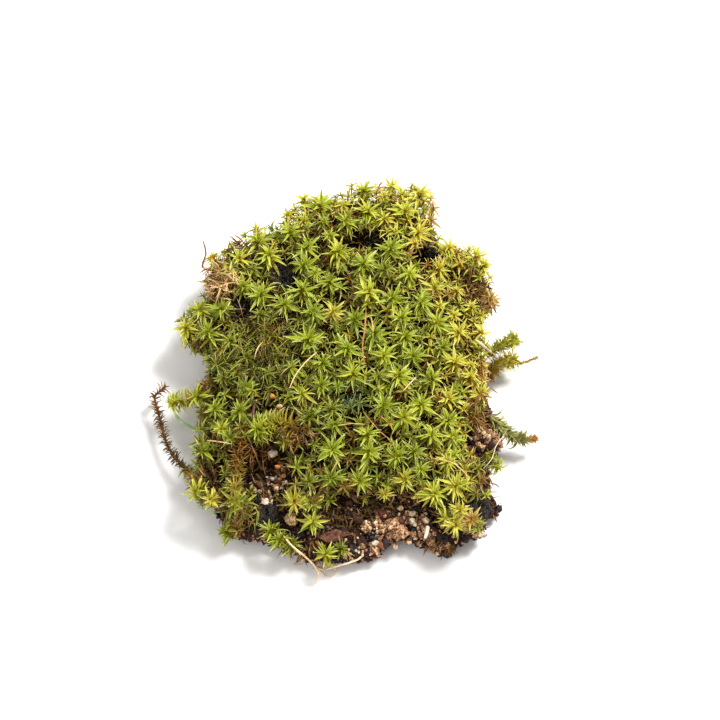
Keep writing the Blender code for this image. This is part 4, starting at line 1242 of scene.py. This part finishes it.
# ---- Roots ----
# Two pale roots curl out from under the front edge down to the table, with finer rootlets. They
# are round soft strands, and their upper ends go into the soil.
root_skin = speckled(
    "root_skin", (0.6, 4.0, 0.6),
    ((0.3, 0.62, 0.33, 0.16), (0.5, 0.84, 0.6, 0.38), (0.7, 0.9, 0.78, 0.58)), 0.5, 0.05)
ROOTS = {  # the points hidden in the soil, at the height of the first seen one, and the seen points
    "root_left": ([(281, 531), (286, 536)], [(291, 542), (298, 548), (304, 553), (310, 559),
                                             (315, 564), (319, 573), (315, 583)]),
    "root_right": ([(364, 551)], [(359, 557), (352, 560), (346, 562), (335, 565), (324, 569)]),
}
for node, (hidden, points) in ROOTS.items():
    spots = on_node(node, points)
    path = route([place(point, spots[0].z) for point in hidden] + spots)
    strand(node + "_strand", path, 0.14, root_skin, "straw", node, 40, 10, ends=(0.5, 0.4))
# Point and height in mm of each bend, and radius in mm.
ROOTLETS = [
    ([(293, 551, 2.4), (300, 552.5, 1.6), (307, 556, 0.9), (315, 563, 0.45)], 0.13),
    ([(295, 552, 2.0), (301, 555, 1.2), (303, 559, 0.6), (300, 563, 0.3), (293, 564, 0.2)], 0.07),
    ([(317, 567, 0.35), (322, 572, 0.2), (329, 575, 0.15), (335, 572, 0.2), (338, 567, 0.4)], 0.09),
    ([(325, 568, 0.35), (320, 567.5, 0.45), (315, 564.5, 0.4)], 0.17),
    ([(334, 564, 0.5), (328, 560, 0.9), (326, 553, 1.6)], 0.06),
    ([(345, 561, 0.4), (352, 563, 0.2), (358, 560, 0.3)], 0.05),
]
for number, (points, radius) in enumerate(ROOTLETS):
    name = f"rootlet_{number + 1}"
    strand(name, raised(points), radius, root_skin, "straw", None, 20, 6, ends=(1.0, 0.4))


# ---- Grit and seeds ----
# The bigger stones, a ball of stuck sand, seeds and a bead that lie on the soil and in the gaps.
# Each is a rough ball in the place of its solid, and the stones have flats worn on them.
grit = speckled(
    "grit", (0.35, 4.0, 0.65), ((0.32, 0.16, 0.09, 0.05), (0.45, 0.45, 0.31, 0.19),
                                (0.6, 0.68, 0.54, 0.38), (0.75, 0.8, 0.72, 0.6)),
    (0.3, 0.7, 0.75, 0.4), 0.08)
clod_grit = speckled(
    "clod_grit", (0.24, 5.0, 0.7), ((0.38, 0.1, 0.04, 0.018), (0.46, 0.38, 0.21, 0.1),
                                    (0.56, 0.66, 0.45, 0.25), (0.68, 0.88, 0.72, 0.5)),
    0.75, 0.2)
grey_grit = speckled(
    "grey_grit", (0.5, 4.0, 0.6),
    ((0.3, 0.26, 0.19, 0.12), (0.5, 0.56, 0.47, 0.34), (0.7, 0.78, 0.72, 0.58)), 0.5, 0.06)
amber_bead = speckled(
    "amber_bead", (0.5, 2.0), ((0.3, 0.38, 0.11, 0.02), (0.7, 0.76, 0.34, 0.09)), 0.3, 0.03)
seed_coat = speckled(
    "seed_coat", (0.4, 3.0), ((0.3, 0.3, 0.16, 0.07), (0.7, 0.74, 0.55, 0.34)), 0.4, 0.04)
# Node, finish, lumpiness, and how many flats are worn on it.
STONES = [
    ("sand_ball", clod_grit, 0.45, 0), ("lobed_grain", grey_grit, 0.35, 11),
    ("orange_grain", amber_bead, 0.2, 11), ("white_grain", grit, 0.2, 11),
    ("pale_grain", grit, 0.25, 11), ("tan_grain", grit, 0.3, 11), ("ledge_grain", grit, 0.3, 11),
    ("grey_pebble", grey_grit, 0.25, 11), ("front_grain", grit, 0.3, 11),
    ("corner_grain", grey_grit, 0.25, 11), ("orange_bead", amber_bead, 0.08, 0),
    ("brown_seed", seed_coat, 0.1, 0),
]
dice = random.Random(51)
for number, (node, finish, lumpy, flats) in enumerate(STONES):
    low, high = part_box(node)
    centre, half = (low + high) / 2, (high - low) / 2
    shape = bmesh.new()
    bmesh.ops.create_icosphere(shape, subdivisions=4, radius=1.0)
    for vert in shape.verts:
        coarse = noise.noise(vert.co * 1.2 + Vector((number * 7, 0, 0)))
        fine = noise.fractal(vert.co * 3.2 + Vector((0, number * 5, 0)), 1.0, 2.0, 3)
        vert.co *= 1 + lumpy * (0.8 * coarse + 0.35 * fine)
    for _ in range(flats):
        flat = Vector([dice.gauss(0, 1) for _ in range(3)]).normalized()
        depth = dice.uniform(0.62, 0.9)
        for vert in shape.verts:
            vert.co -= flat * max(0, vert.co.dot(flat) - depth)
    for vert in shape.verts:
        vert.co = centre + vert.co * half
    name = node + "_stone"
    add_object(name, mesh_of(name, shape), finish, "sand", node)


# ---- Leaf scrap ----
# A torn bit of a dead broad leaf, red-brown and wrinkled, that lies on the front soil. It is
# shaped as a thin sheet, and then given its thickness.
dead_leaf, wire = material("dead_leaf")
waves = {"Vector": wire.here(), "Scale": 420.0, "Distortion": 4.0}
ribs = wire.node("TexWave", {"bands_direction": "DIAGONAL"}, waves, 1)
blotch = wire.grain(0.5 * MM, 4.0, 0.6)
flesh = blotch.ramp((0.3, 0.04, 0.015, 0.009), (0.5, 0.11, 0.042, 0.024),
                    (0.7, 0.21, 0.095, 0.055))
surface(wire, ribs.clipped(0.6, 1.0, 0.0, 0.15).between(flesh, (0.30, 0.16, 0.09)), 0.65,
        ribs + blotch, 0.04 * MM, 0.3)
low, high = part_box("leaf_scrap")
centre, half = (low + high) / 2, (high - low) / 2
scrap = bmesh.new()
bmesh.ops.create_grid(scrap, x_segments=28, y_segments=12, size=1.0)
for vert in scrap.verts:
    x, y = vert.co.x, vert.co.y
    width = max(0.05, 1 - abs(x) ** 2.5) ** 0.8 * (1 + 0.2 * noise.noise(Vector((x * 4, 0, 2))))
    wave = noise.fractal(Vector((x * 2.4, y * 1.8, 5)), 1.0, 2.0, 2)
    height = (1.1 * wave - 0.5 * y * y) * 0.35 * MM + 0.05 * MM
    spread = Vector((x * half.x * 0.92 + 0.25 * y * half.x, y * width * half.y * 0.85, height))
    vert.co = centre + spread
bmesh.ops.solidify(scrap, geom=scrap.faces[:], thickness=0.09 * MM)
bmesh.ops.recalc_face_normals(scrap, faces=scrap.faces)
scrap_mesh = mesh_of("leaf_scrap_sheet", scrap)
add_object("leaf_scrap_sheet", scrap_mesh, dead_leaf, "dead_stem", "leaf_scrap")
